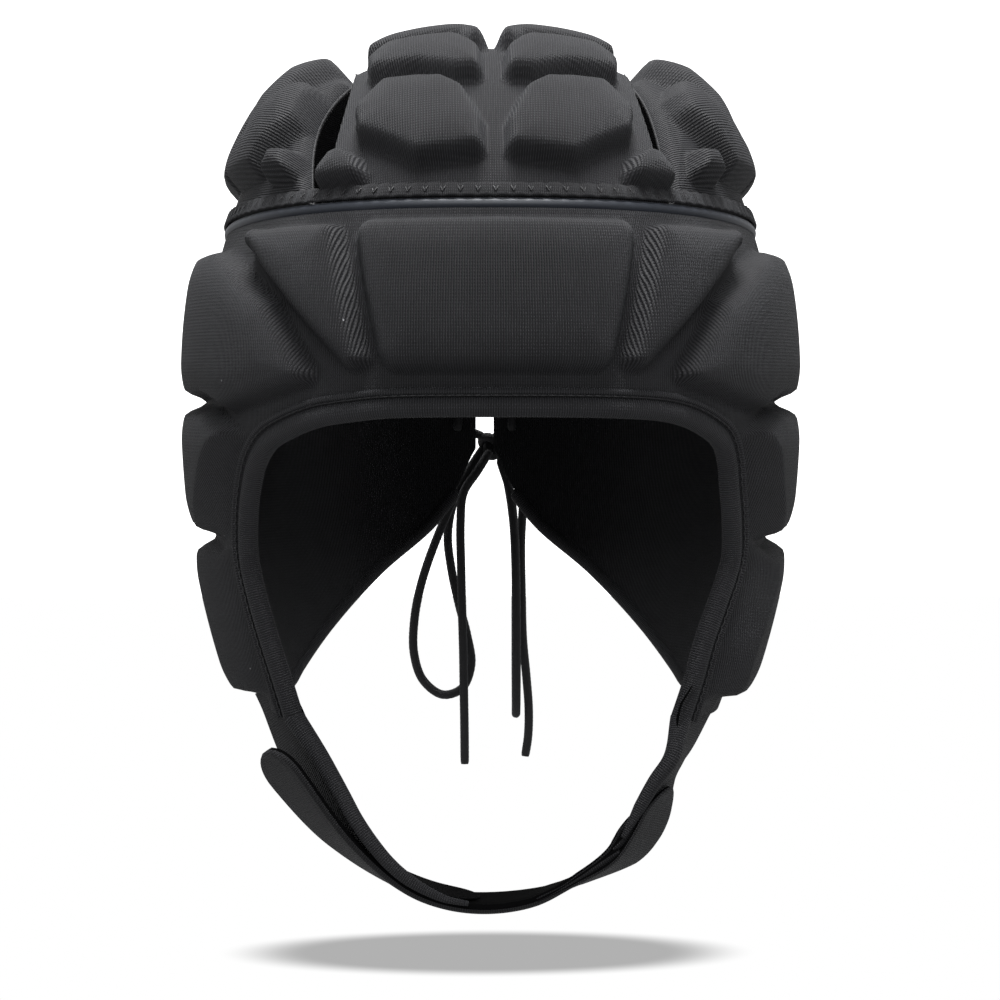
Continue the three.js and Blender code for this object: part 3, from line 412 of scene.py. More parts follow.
def crown_point(across, degrees, out):
    """A point of the crown by its place across and its angle over the head from the brow."""
    left = (1 - np.minimum(1, np.abs(across / (HEAD_HALF_WIDTH + out))) ** FORM_POWER) ** (1 / FORM_POWER)
    y, z = -np.cos(np.radians(degrees)), np.sin(np.radians(degrees))
    total = (np.abs(y / (HEAD_HALF_LENGTH + out)) ** FORM_POWER
             + np.abs(z / (CROWN_HEIGHT + out)) ** FORM_POWER)
    radius = left * total ** (-1 / FORM_POWER)
    return np.stack([np.broadcast_to(across, radius.shape), y * radius, WIDEST + z * radius], axis=-1)


def form_value(points):
    side, front, back = half_axes(points[..., 2], 0)
    length = np.where(points[..., 1] < 0, front, back)
    value = np.abs(points[..., 0] / side) ** FORM_POWER + np.abs(points[..., 1] / length) ** FORM_POWER
    return value + (np.maximum(0, points[..., 2] - WIDEST) / CROWN_HEIGHT) ** FORM_POWER


def outward(points):
    """Direction straight out of the head form."""
    step = 0.0005
    slope = [form_value(points + step * axis) - form_value(points - step * axis) for axis in np.eye(3)]
    return unit(np.stack(slope, axis=-1))


def seam_level(degrees):
    level = np.full(np.shape(degrees), -SEAM_DROP)
    for _ in range(6):
        level = -SEAM_DROP - math.tan(SEAM_TILT) * side_point(degrees, level, SHEET)[..., 1]
    return level


# Distances on the cloth, from one table each: round the head, down its side, over and across it
TURNS = np.linspace(-200, 200, 801)
ROUND_ARC = lengths_along(side_point(TURNS, WIDEST, SHEET))
ROUND_ARC -= np.interp(0, TURNS, ROUND_ARC)
LEVELS = np.linspace(-0.0005, HEM - 0.02, 400)
DOWN_ARC = lengths_along(side_point(90, LEVELS, SHEET))
OVER_ANGLES = np.linspace(0, 180, 361)
OVER_ARC = lengths_along(crown_point(0.0, OVER_ANGLES, SHEET))
ACROSS = np.linspace(0, HEAD_HALF_WIDTH * 0.97, 200)
ACROSS_ARC = lengths_along(crown_point(ACROSS, 90, SHEET))


def round_cloth(degrees, level):
    u = np.interp(degrees, TURNS, ROUND_ARC)
    v = np.interp(-level, -LEVELS, DOWN_ARC)
    return u, v


def over_cloth(across, degrees):
    u = np.sign(across) * np.interp(np.abs(across), ACROSS, ACROSS_ARC)
    return u, np.interp(degrees, OVER_ANGLES, OVER_ARC)


def outside_by(u, v, outline, squeeze):
    """How far points of the cloth lie outside an outline, negative inside it."""
    nearest = np.full(u.shape, np.inf)
    inside = np.zeros(u.shape, dtype=bool)
    for (au, av), (bu, bv) in zip(outline, np.roll(outline, -1, axis=0)):
        ax, ay = (au - u) * squeeze[0], (av - v) * squeeze[1]
        ex, ey = (bu - au) * squeeze[0], (bv - av) * squeeze[1]
        share = np.clip(-(ax * ex + ay * ey) / (ex * ex + ey * ey), 0, 1)
        nearest = np.minimum(nearest, (ax + share * ex) ** 2 + (ay + share * ey) ** 2)
        if av != bv:
            inside ^= ((av > v) != (bv > v)) & (u < (bu - au) * (v - av) / (bv - av) + au)
    return np.where(inside, -1, 1) * np.sqrt(nearest)


def turned_area(outline):
    """An outline's area, negative where it turns clockwise."""
    ahead = np.roll(outline, -1, axis=0)
    return 0.5 * np.sum(outline[:, 0] * ahead[:, 1] - ahead[:, 0] * outline[:, 1])


def drawn_in(outline, distance):
    """An outline moved inwards by a distance, corner by corner."""
    after = unit(np.roll(outline, -1, axis=0) - outline)
    normal_after = np.stack([-after[:, 1], after[:, 0]], axis=1) * np.sign(turned_area(outline))
    normal_before = np.roll(normal_after, 1, axis=0)
    reach = np.maximum(0.35, 1 + np.sum(normal_after * normal_before, axis=1, keepdims=True))
    return outline + (normal_after + normal_before) / reach * distance


def pad_height(depth):
    """Height of a pad's skin above the sheet at a depth inside its edge: a wall, then a dome."""
    wall = np.clip((depth + PAD_FOOT) / PAD_WALL, 0, 1)
    dome = 1 - (1 - np.clip(depth / PAD_DOME, 0, 1)) ** 2
    return PAD_RISE * (WALL_SHARE * wall ** 1.25 * (2.25 - 1.25 * wall) + DOME_SHARE * dome)


def height_of(u, v, outlines, squeeze):
    height = np.zeros(u.shape)
    for outline in outlines:
        outline = np.asarray(outline, dtype=float)
        corner = min(PAD_CORNER, SMALL_CORNER * math.sqrt(abs(turned_area(outline))))
        inner = drawn_in(outline, corner)
        height = np.maximum(height, pad_height(corner - outside_by(u, v, inner, squeeze)))
    return height


def both_sides(rows, place):
    """Outlines on the cloth of a table's pads and of their mirror images."""
    outlines = []
    for sign in (-1, 1):
        for corners in rows:
            table = np.asarray(corners, dtype=float)
            outlines.append(np.stack(place(sign, table[:, 0], table[:, 1]), axis=1))
    return outlines


def place_over(sign, share, degrees):
    return over_cloth(sign * share * HEAD_HALF_WIDTH, degrees)


def place_round(sign, degrees, drop):
    seam = seam_level(degrees)
    return round_cloth(sign * degrees, seam + (HEM - seam) * drop)


OVER_OUTLINES = both_sides(STRIP_PADS + UPPER_SIDE_PADS, place_over)
CROWN_ROUND_OUTLINES = both_sides(LOWER_SIDE_PADS, place_round)


def over_height(points):
    """Height of the pads that are placed over the head, at points of the form."""
    across = points[..., 0]
    degrees = np.degrees(np.arctan2(points[..., 2] - WIDEST, -points[..., 1]))
    left = (1 - np.minimum(0.98, np.abs(across / HEAD_HALF_WIDTH)) ** FORM_POWER) ** (1 / FORM_POWER)
    u, v = over_cloth(across, degrees)
    return height_of(u, v, OVER_OUTLINES, (np.ones_like(left), left))


def round_height(points, outlines):
    """Height of the pads that are placed round the head, at points of the form."""
    degrees = np.degrees(np.arctan2(points[..., 0], -points[..., 1]))
    level = points[..., 2]
    u, v = round_cloth(degrees, level)
    ring = np.linalg.norm(side_point(degrees, level, SHEET)[..., :2], axis=-1)
    widest = np.linalg.norm(side_point(degrees, WIDEST, SHEET)[..., :2], axis=-1)
    return height_of(u, v, outlines, (ring / widest, np.ones_like(ring)))


def on_form(points):
    """Points moved to the crown's form along straight lines from its middle."""
    middle = np.array([0, 0, WIDEST])
    return middle + (points - middle) * form_value(points)[..., None] ** (-1 / FORM_POWER)


def walled_piece(name, outer, inner, faces, uv, edge_slot=0):
    """A piece of padded sheet: its outside, its inside, and the cut edge between them."""
    count = len(outer)
    directed = np.array([(a, b) for face in faces for a, b in zip(face, face[1:] + face[:1])])
    keys = np.sort(directed, axis=1)
    order = keys[:, 0].astype(np.int64) * count + keys[:, 1]
    _, first, times = np.unique(order, return_index=True, return_counts=True)
    edges = directed[first[times == 1]]
    rim = np.stack([edges[:, 1], edges[:, 0], edges[:, 0] + count, edges[:, 1] + count], axis=1).tolist()
    inside = [[k + count for k in reversed(face)] for face in faces]
    every = faces + inside + rim
    corners = np.concatenate([np.asarray(face) for face in every]) % count
    slots = [0] * (len(faces) + len(inside)) + [edge_slot] * len(rim)
    return cloth_mesh(name, np.vstack([outer, inner]), every, uv[corners], slots)


def grid_faces(rows, cols):
    i, j = np.meshgrid(np.arange(rows - 1), np.arange(cols - 1), indexing="ij")
    first = (i * cols + j).ravel()
    return np.stack([first, first + 1, first + cols + 1, first + cols], axis=1).tolist()


def strip_edge(y):
    reach = np.minimum(1, np.abs(y) / HEAD_HALF_LENGTH / SEAM_REACH)
    return STRIP_HALF_WIDTH + (STRIP_END_HALF_WIDTH - STRIP_HALF_WIDTH) * reach ** 4


def knit_group():
    """Ribbed knit on cloth coordinates in millimetres: ribs a pitch apart, loops along them."""
    tree = bpy.data.node_groups.new("ribbed knit", "ShaderNodeTree")
    tree.interface.new_socket("Cloth", in_out="INPUT", socket_type="NodeSocketVector")
    for name, value in (("Pitch", 0.68), ("Loop", 0.9), ("Waver", 0.35)):
        socket = tree.interface.new_socket(name, in_out="INPUT", socket_type="NodeSocketFloat")
        socket.default_value = value
    for name in ("Height", "Ridge", "Patch"):
        tree.interface.new_socket(name, in_out="OUTPUT", socket_type="NodeSocketFloat")
    inside, outside = node(tree, "NodeGroupInput"), node(tree, "NodeGroupOutput")
    drift = node(tree, "ShaderNodeTexNoise")
    drift.inputs["Scale"].default_value = 0.12
    drift.inputs["Detail"].default_value = 3
    tree.links.new(inside.outputs["Cloth"], drift.inputs["Vector"])
    parts = node(tree, "ShaderNodeSeparateXYZ")
    tree.links.new(inside.outputs["Cloth"], parts.inputs[0])
    waver = math_node(tree, "MULTIPLY", math_node(tree, "SUBTRACT", drift.outputs["Fac"], 0.5),
                      inside.outputs["Waver"])
    across = math_node(tree, "ADD", parts.outputs["X"], waver)
    rib = math_node(tree, "DIVIDE", across, inside.outputs["Pitch"])
    angle = math_node(tree, "MULTIPLY", rib, 2 * math.pi)
    ridge = math_node(tree, "MULTIPLY_ADD", math_node(tree, "COSINE", angle), 0.5, 0.5)
    bent = math_node(tree, "ABSOLUTE", math_node(tree, "SUBTRACT", math_node(tree, "FRACT", rib), 0.5))
    loop = math_node(tree, "DIVIDE", parts.outputs["Y"], inside.outputs["Loop"])
    loop = math_node(tree, "ADD", loop, bent)
    loops = math_node(tree, "COSINE", math_node(tree, "MULTIPLY", loop, 2 * math.pi))
    height = math_node(tree, "ADD", math_node(tree, "MULTIPLY", ridge, 0.82),
                       math_node(tree, "MULTIPLY", math_node(tree, "MULTIPLY", loops, ridge), 0.18))
    tree.links.new(height, outside.inputs["Height"])
    tree.links.new(ridge, outside.inputs["Ridge"])
    tree.links.new(drift.outputs["Fac"], outside.inputs["Patch"])
    return tree


KNIT = knit_group()


def knit_material(name, turn_degrees=0.0, depth=0.00038, light=1.0, pitch=0.68):
    """Ribbed knit cloth, with painted shade in its rib valleys and a painted highlight on its rib crests;
    the ribs run along the cloth's second direction unless turned.
    """
    material, tree, shader = new_material(name, 0.8, 0.05, 0.22)
    speckle, lint = fibres(tree)
    cloth = node(tree, "ShaderNodeUVMap", uv_map="cloth").outputs[0]
    turned = node(tree, "ShaderNodeMapping")
    turned.inputs["Rotation"].default_value = (0, 0, math.radians(turn_degrees))
    tree.links.new(cloth, turned.inputs["Vector"])
    knit = node(tree, "ShaderNodeGroup", node_tree=KNIT)
    knit.inputs["Pitch"].default_value = pitch
    tree.links.new(turned.outputs[0], knit.inputs["Cloth"])
    # Painted shade and highlight: the rib valleys are painted nearly black and the crests several times
    # lighter, standing in for shade and top light; the speckle and patches are the knit's own random
    # tone.
    valley_painted_shade = tuple(light * value for value in (0.0035, 0.0035, 0.0041))
    crest_painted_highlight = tuple(light * value for value in (0.027, 0.027, 0.030))
    share = math_node(tree, "ADD", math_node(tree, "MULTIPLY", knit.outputs["Ridge"], 0.7),
                      math_node(tree, "MULTIPLY", speckle, 0.38))
    rib_shade_and_wear = math_node(tree, "ADD", share, math_node(tree, "MULTIPLY",
                     math_node(tree, "SUBTRACT", knit.outputs["Patch"], 0.5), 0.35))
    colour = mixed_colour(tree, rib_shade_and_wear, valley_painted_shade, crest_painted_highlight)
    tree.links.new(mixed_colour(tree, lint, colour, (0.22, 0.22, 0.23)), shader.inputs["Base Color"])
    rough = math_node(tree, "MULTIPLY_ADD", speckle, 0.3, 0.5)
    tree.links.new(rough, shader.inputs["Roughness"])
    height = math_node(tree, "ADD", knit.outputs["Height"], math_node(tree, "MULTIPLY", speckle, 0.5))
    bumped(tree, shader, height, depth)
    return material


def foam_material():
    """The raw cut edge of the laminate: pale grey foam with fine open cells."""
    material, tree, shader = new_material("cut foam", 0.9, 0.0)
    place = node(tree, "ShaderNodeTexCoord").outputs["Object"]
    cells = node(tree, "ShaderNodeTexNoise")
    cells.inputs["Scale"].default_value = 1500
    cells.inputs["Detail"].default_value = 4
    tree.links.new(place, cells.inputs["Vector"])
    colour = mixed_colour(tree, cells.outputs["Fac"], (0.02, 0.02, 0.021), (0.13, 0.13, 0.135))
    tree.links.new(colour, shader.inputs["Base Color"])
    bumped(tree, shader, cells.outputs["Fac"], 0.0002)
    return material


crown_knit = knit_material("ribbed knit, front to back")
foam = foam_material()


EDGE_LIFT = PIPING_DIAMETER / 2 - 0.0004  # from the seam to the sheets' edges, just inside the piping
columns = round(2 * STRIP_HALF_WIDTH * 1.1 / STRIP_CELL)
rows = round(STRIP_LENGTH / STRIP_CELL)
share_across = np.linspace(-1, 1, columns + 1)[None, :]


def seam_angle(share, back):
    """Angle over the head at which the strip meets the seam, at a share of its width."""
    low, high = (90.0, 180.0) if back else (90.0, 0.0)
    low, high = np.full(share.shape, low), np.full(share.shape, high)
    for _ in range(30):
        middle = (low + high) / 2
        point = crown_point(share * STRIP_END_HALF_WIDTH, middle, SHEET)
        level = -SEAM_DROP - math.tan(SEAM_TILT) * point[..., 1] + EDGE_LIFT
        above = point[..., 2] > level
        low, high = np.where(above, middle, low), np.where(above, high, middle)
    return low


front_angle, back_angle = (seam_angle(share_across, back) for back in (False, True))
over_angle = front_angle + (back_angle - front_angle) * np.linspace(0, 1, rows + 1)[:, None]
strip_across = share_across * STRIP_HALF_WIDTH * np.ones_like(over_angle)
for _ in range(4):
    strip_across = share_across * strip_edge(crown_point(strip_across, over_angle, 0.0)[..., 1])
strip_inner = crown_point(strip_across, over_angle, 0.0)
strip_outer = crown_point(strip_across, over_angle, SHEET)
strip_outer = strip_outer + outward(strip_inner) * over_height(strip_outer)[..., None]
strip_uv = np.stack(over_cloth(strip_across, over_angle), axis=-1).reshape(-1, 2) / MM
crown_centre = walled_piece("crown_centre_knit", strip_outer.reshape(-1, 3), strip_inner.reshape(-1, 3),
                            grid_faces(rows + 1, columns + 1), strip_uv, edge_slot=1)
dress(crown_centre, "knit", crown_knit, foam)
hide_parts("crown_centre")

# Side panels of the crown: the same padded sheet, cut with its ribs round the head.
# Each fills the space between the slit and the seam, and its edge at the slit is cut raw.
SIDE_CELL = 0.0009
VENT_WIDTHS = {-1: 0.0075, 1: 0.0026}   # the slit gapes more on the wearer's right
VENT_MIDDLE = 0.54
BACK_VENT_SHARE = 0.45
THIN_EDGE = 0.0026           # width over which the sheet thins to its cut edge
SIDE_STAND = 0.0050          # how far the panel bulges out between the slit and the seam
# How the panel bulges: share of the way from the slit to the seam, and share of SIDE_STAND
SIDE_SWELL = [[0, 0.12], [0.08, 0.5], [0.22, 0.95], [0.4, 1], [0.6, 0.6], [0.8, 0.2], [1, 0]]
THIN_SHARE = 0.35            # thickness of the sheet at its cut edge
PANEL_LENGTH = 0.185
PANEL_WIDTH = 0.060
SIDE_NAMES = {-1: "right", 1: "left"}


def vent_width(y, sign):
    reach = np.abs(y) / HEAD_HALF_LENGTH
    swell = np.maximum(0, 1 - ((reach - VENT_MIDDLE) / (SEAM_REACH - VENT_MIDDLE)) ** 2)
    return GAP + VENT_WIDTHS[sign] * np.where(y > 0, BACK_VENT_SHARE, 1.0) * swell


def slit_curve(sign, count):
    """The side panel's edge along the slit, from the front end at the seam to the back end."""
    y = np.linspace(-1, 1, 4001) * HEAD_HALF_LENGTH * 0.97
    x = sign * (strip_edge(y) + vent_width(y, sign))
    reach = 1 - np.abs(x / HEAD_HALF_WIDTH) ** FORM_POWER - np.abs(y / HEAD_HALF_LENGTH) ** FORM_POWER
    z = WIDEST + CROWN_HEIGHT * np.maximum(0, reach) ** (1 / FORM_POWER)
    kept = z > -SEAM_DROP - math.tan(SEAM_TILT) * y + EDGE_LIFT
    points = np.stack([x, y, z], axis=1)[kept]
    along = lengths_along(points)
    even = np.linspace(0, along[-1], count)
    return np.stack([np.interp(even, along, points[:, k]) for k in range(3)], axis=1)


side_knit = knit_material("ribbed knit, across")
for sign, side_name in SIDE_NAMES.items():
    rows, columns = round(PANEL_LENGTH / SIDE_CELL), round(PANEL_WIDTH / SIDE_CELL)
    slit = slit_curve(sign, rows + 1)
    first, last = (math.degrees(math.atan2(abs(p[0]), -p[1])) for p in (slit[0], slit[-1]))
    turns = np.linspace(first, last, rows + 1)
    seam = side_point(sign * turns, seam_level(turns) + EDGE_LIFT, 0.0)
    share = np.linspace(0, 1, columns + 1)[None, :, None]
    flat = slit[:, None] * (1 - share) + seam[:, None] * share
    inner = on_form(flat)
    middle = np.sin(math.pi * np.linspace(0, 1, rows + 1)) ** 0.8
    swell = np.interp(share[..., 0], *np.transpose(SIDE_SWELL))
    stand = SIDE_STAND * middle[:, None] * swell
    bulge = np.maximum(over_height(inner), round_height(inner, CROWN_ROUND_OUTLINES))
    from_slit = np.linalg.norm(inner - inner[:, :1], axis=-1)
    rounding = np.clip(from_slit / THIN_EDGE, 0, 1)
    rounding = rounding * (2 - rounding)
    out = outward(inner)
    skin = SHEET * (THIN_SHARE + (1 - THIN_SHARE) * rounding) + bulge * rounding
    outer = inner + out * (stand + skin)[..., None]
    u, v = round_cloth(np.degrees(np.arctan2(inner[..., 0], -inner[..., 1])), inner[..., 2])
    uv = np.stack([v, u], axis=-1).reshape(-1, 2) / MM
    faces = grid_faces(rows + 1, columns + 1)
    if sign < 0:
        faces = [face[::-1] for face in faces]
    under = inner + out * stand[..., None]
    panel = walled_piece(f"crown_{side_name}_knit", outer.reshape(-1, 3), under.reshape(-1, 3),
                         faces, uv, edge_slot=1)
    dress(panel, "knit", side_knit, foam)
    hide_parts(f"crown_{side_name}")

# Lower shell: one padded sheet from the laced slit at the nape, round the ears and over the
# forehead. It is cut out round the face, at the nape, over the ears and for the lace.
SHELL_CELL = 0.00118
ROLL_DIAMETER = 0.006
NAPE_DROP = 0.118
LACE_SLIT = 0.006
EAR_HOLE_TURN = 99
EAR_HOLE_DROP = 0.123
EAR_HOLE_WIDTH = 0.026
EAR_HOLE_HEIGHT = 0.034
LACE_HOLE = 0.0034
LACE_HOLE_INSET = 0.009
TAPE_WIDTH = 0.0042
TAPE_THICKNESS = 0.0008
NECK_ROLL = 0.0046
SHELL_ROUND = 0.560          # on the cloth, round the head
SHELL_DEPTH = 0.139          # and down from the seam
FACE_BEHIND = -0.12          # the face opening is cut in front of this share of the half length
NAPE_AHEAD = 0.10            # and the nape arch behind this one
ROLLED_IN = 0.0006           # from a roll's middle line to the edge of the sheet inside it
RIM_CLEAR = 0.0025           # flat sheet beside the rim
RIM_BLEND = 0.0045           # and the width over which the pads rise from it
CUT_LIMIT = 0.07             # least share of a cell's side that a cut leaves
# Brow pad's half and the other pads: degrees from the face, and drop below the seam as a share
# of its height above the hem
BROW_PAD = [[0, 0.03], [21.2, 0.032], [22.8, 0.06], [18, 0.29], [16.3, 0.318], [0, 0.318]]
SHELL_PADS = [
    [[26, 0.035], [45.5, 0.033], [47.5, 0.055], [36, 0.165], [22.5, 0.316], [19.6, 0.318], [19.8, 0.285]],
    [[50, 0.092], [58, 0.06], [84, 0.05], [86, 0.348], [58, 0.356], [49, 0.385], [38, 0.362], [30, 0.342],
     [28.5, 0.318], [37.5, 0.178]],
    [[45.5, 0.435], [57, 0.378], [84, 0.36], [84, 0.61], [60, 0.64], [54, 0.645], [47, 0.58]],
    [[46, 0.645], [51, 0.64], [64, 0.665], [82, 0.64], [80, 0.955], [46.5, 0.965]],
    [[89, 0.05], [116, 0.05], [113, 0.33], [90, 0.34]],
    [[114, 0.36], [133, 0.36], [129, 0.66], [112, 0.70], [111, 0.62]],
    [[85, 0.68], [107, 0.72], [119, 0.705], [116, 0.90], [108, 0.955], [84, 0.955]],
    [[120, 0.05], [147, 0.05], [147, 0.325], [117, 0.325]],
    [[136.5, 0.36], [148, 0.36], [147, 0.53], [135, 0.63], [132, 0.61]],
    [[151, 0.05], [171, 0.05], [171, 0.36], [162, 0.46], [151, 0.50]],
]
# The face opening's edge: drop below the widest level, and reach to the right and left
FACE_EDGE = [
    [0.036, 0.00, 0.00], [0.040, 0.36, 0.40], [0.050, 0.47, 0.56], [0.068, 0.595, 0.645],
    [0.10, 0.69, 0.72], [0.14, 0.765, 0.775], [0.20, 0.812, 0.80], [0.29, 0.839, 0.812],
    [0.386, 0.852, 0.824], [0.51, 0.851, 0.825], [0.63, 0.822, 0.780], [0.755, 0.781, 0.728],
    [0.88, 0.736, 0.69], [1.04, 0.682, 0.63],
]
# The nape arch's edge: reach across, and drop from the top of the arch to the hem
NAPE_EDGE = [
    [0.00, -0.03], [0.035, 0.00], [0.12, 0.18], [0.235, 0.33], [0.43, 0.51], [0.62, 0.73],
    [0.735, 0.90], [0.785, 1.00], [0.80, 1.03],
]


def front_point(x, level, out, facing=-1):
    """A point of the form by its place across and its level, on the front or the back."""
    side, front, back = half_axes(level, out)
    share = crown_share(level, out) ** FORM_POWER
    left = np.maximum(0, share - np.abs(x / side) ** FORM_POWER) ** (1 / FORM_POWER)
    return np.stack([x, facing * left * (front if facing < 0 else back), level], axis=-1)


def face_edge(step):
    """The face opening's edge as x and z, from the wearer's right cheek over the brow."""
    table = np.asarray(FACE_EDGE)
    level = WIDEST - table[:, 0] * NECK_DROP
    right = np.stack([-table[:, 1] * HEAD_HALF_WIDTH, level], axis=1)[::-1]
    left = np.stack([table[:, 2] * HEAD_HALF_WIDTH, level], axis=1)[1:]
    flat = np.vstack([right, left])
    route = smooth_route(np.stack([flat[:, 0], 0 * flat[:, 0], flat[:, 1]], axis=1), step)
    return route[:, [0, 2]]


def nape_edge(step):
    """The nape arch's edge on the wearer's left, from the middle down to the hem."""
    table = np.asarray(NAPE_EDGE)
    x, z = table[:, 0] * HEAD_HALF_WIDTH, -NAPE_DROP + (HEM + NAPE_DROP) * table[:, 1]
    route = smooth_route(np.stack([x, 0 * x, z], axis=1), step)
    return route[:, [0, 2]]


def lace_levels():
    top = float(seam_level(np.array(180.0))) - TAPE_WIDTH * 1.5
    low = -NAPE_DROP + NECK_ROLL * 1.6
    return [top, (top + low) / 2, low]


def cloth_left(points):
    """How far points are from the nearest cut edge of the lower shell, negative in a hole."""
    x, y, z = points[..., 0], points[..., 1], points[..., 2]
    ones = (1.0, 1.0)
    low = HEM - NECK_DROP
    face = face_edge(0.002)
    face = np.vstack([[face[0, 0], low], face, [face[-1, 0], low]])
    front = outside_by(x, z, face, ones) - ROLLED_IN
    left = np.where(y < FACE_BEHIND * HEAD_HALF_LENGTH, front, 1.0)
    arch = nape_edge(0.002)
    arch = np.vstack([arch[::-1] * [-1, 1], arch[1:], [arch[-1, 0], low], [-arch[-1, 0], low]])
    back = np.minimum(outside_by(x, z, arch, ones), np.abs(x) - LACE_SLIT / 2)
    for level in lace_levels():
        back = np.minimum(back, np.hypot(np.abs(x) - LACE_HOLE_INSET, z - level) - LACE_HOLE / 2)
    left = np.minimum(left, np.where(y > NAPE_AHEAD * HEAD_HALF_LENGTH, back, 1.0))
    middle = side_point(EAR_HOLE_TURN, -EAR_HOLE_DROP, 0.0)
    ear = np.hypot((y - middle[1]) / EAR_HOLE_WIDTH, (z + EAR_HOLE_DROP) / EAR_HOLE_HEIGHT) - 0.5
    return np.minimum(left, ear * EAR_HOLE_WIDTH)


def cut_out(places, quads, left):
    """Cuts a grid of quads along the line where left turns negative, and keeps the rest."""
    inside = left[quads] > 0
    faces = quads[inside.all(axis=1)].tolist()
    places = list(map(tuple, places))
    made = {}
    for quad in quads[inside.any(axis=1) & ~inside.all(axis=1)].tolist():
        kept = []
        for a, b in zip(quad, quad[1:] + quad[:1]):
            if left[a] > 0:
                kept.append(a)
            if (left[a] > 0) != (left[b] > 0):
                key = (min(a, b), max(a, b))
                if key not in made:
                    share = left[key[0]] / (left[key[0]] - left[key[1]])
                    share = min(1 - CUT_LIMIT, max(CUT_LIMIT, share))
                    made[key] = len(places)
                    start, end = np.array(places[key[0]]), np.array(places[key[1]])
                    places.append(tuple(start + (end - start) * share))
                kept.append(made[key])
        if len(kept) > 2:
            faces.append(kept)
    used = np.unique(np.concatenate([np.asarray(face) for face in faces]))
    number = {int(old): new for new, old in enumerate(used)}
    return np.asarray(places)[used], [[number[k] for k in face] for face in faces]


def lower_outlines():
    table = np.asarray(BROW_PAD, dtype=float)
    mirrored = table[1:-1][::-1] * [-1, 1]
    brow = np.vstack([table, mirrored])
    seam = seam_level(np.abs(brow[:, 0]))
    outline = np.stack(round_cloth(brow[:, 0], seam + (HEM - seam) * brow[:, 1]), axis=1)
    return [outline] + both_sides(SHELL_PADS, place_round)


shell_turns = np.linspace(-179.3, 179.3, round(SHELL_ROUND / SHELL_CELL))
shell_shares = np.linspace(0, 1, round(SHELL_DEPTH / SHELL_CELL))
turn_grid, share_grid = np.meshgrid(shell_turns, shell_shares, indexing="ij")
shell_top = seam_level(shell_turns)[:, None] - EDGE_LIFT
level_grid = shell_top + (HEM - shell_top) * share_grid
places = np.stack([turn_grid.ravel(), level_grid.ravel()], axis=1)
quads = np.array(grid_faces(len(shell_turns), len(shell_shares)))[:, ::-1]
cloth = cloth_left(side_point(places[:, 0], places[:, 1], SHEET / 2))
places, faces = cut_out(places, quads, cloth)
inner = side_point(places[:, 0], places[:, 1], 0.0)
base = side_point(places[:, 0], places[:, 1], SHEET)
opening = np.vstack([face_edge(0.002), [[0, HEM - NECK_DROP]]])
from_rim = outside_by(base[:, 0], base[:, 2], opening, (1.0, 1.0))
bulge = round_height(base, lower_outlines())
near_rim = np.clip((from_rim - ROLL_DIAMETER / 2 - RIM_CLEAR) / RIM_BLEND, 0, 1)
bulge *= np.where(base[:, 1] < FACE_BEHIND * HEAD_HALF_LENGTH, near_rim, 1.0)
outer = base + outward(inner) * bulge[:, None]
u, v = round_cloth(places[:, 0], places[:, 1])
shell_uv = np.stack([u, v], axis=1) / MM
shell_knit = knit_material("ribbed knit, upright")
lower_shell = walled_piece("lower_shell_knit", outer, inner, faces, shell_uv, edge_slot=1)
dress(lower_shell, "knit", shell_knit, foam)
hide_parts("lower_shell")

# Seam tape: a flat woven tape that covers the seam, with a row of small V-shaped stitches.
# The stitches pull the tape down, so that it puffs up a little between them.
STITCH_GAP = 0.0047
STITCH_REACH = 0.0015
STITCH_SHARE = 0.15           # half of a stitch's width, as a share of the gap between them
THREAD = 0.00042
PUFF = 0.0005                  # how far the tape puffs up between the stitches
TAPE_STEP = 0.00065


def seam_path(lift, out, step):
    turns = np.linspace(-180, 180, 1441)
    rough = side_point(turns, seam_level(turns) + lift, out)
    along = lengths_along(rough)
    even = np.interp(np.linspace(0, along[-1], round(along[-1] / step) + 1)[:-1], along, turns)
    return side_point(even, seam_level(even) + lift, out)


def swept_rings(path, outs, sections, joined=False):
    """Rings of section points along a path; a section holds [along the cloth, out of it]."""
    ahead = np.roll(path, -1, axis=0) - np.roll(path, 1, axis=0) if joined else np.gradient(path, axis=0)
    ahead = unit(ahead)
    outs = unit(outs - ahead * np.sum(ahead * outs, axis=1, keepdims=True))
    beside = np.cross(ahead, outs)
    sections = np.broadcast_to(sections, (len(path), *np.shape(sections)[-2:]))
    return path[:, None] + sections[..., :1] * beside[:, None] + sections[..., 1:] * outs[:, None]


def closed_round(section):
    """Lengths round a closed section, from its first point back to it."""
    return lengths_along(np.vstack([section, section[:1]]))


def swept_piece(name, path, outs, section, sections=None, joined=False):
    """A section carried along a path, or a row of sections, with its cloth coordinates."""
    rings = swept_rings(path, outs, section if sections is None else sections, joined)
    along = closed_round(path) if joined else lengths_along(path)
    uv = np.stack(np.meshgrid(closed_round(section) / MM, along / MM), axis=-1)
    return tube_mesh(name, rings, uv, joined)


def round_section(diameter, sides):
    angle = np.linspace(0, 2 * math.pi, sides, endpoint=False)
    return np.stack([np.cos(angle), np.sin(angle)], axis=1) * diameter / 2


def rounded_bar(width, thickness, corner_points=4):
    """The section of a flat band with round edges."""
    radius = min(thickness / 2, width / 2)
    points = []
    for middle, start in ((width / 2 - radius, -90), (radius - width / 2, 90)):
        for angle in np.radians(np.linspace(start, start + 180, 2 * corner_points + 1)):
            points.append([middle + radius * math.cos(angle), thickness / 2 * math.sin(angle)])
    return np.array(points)


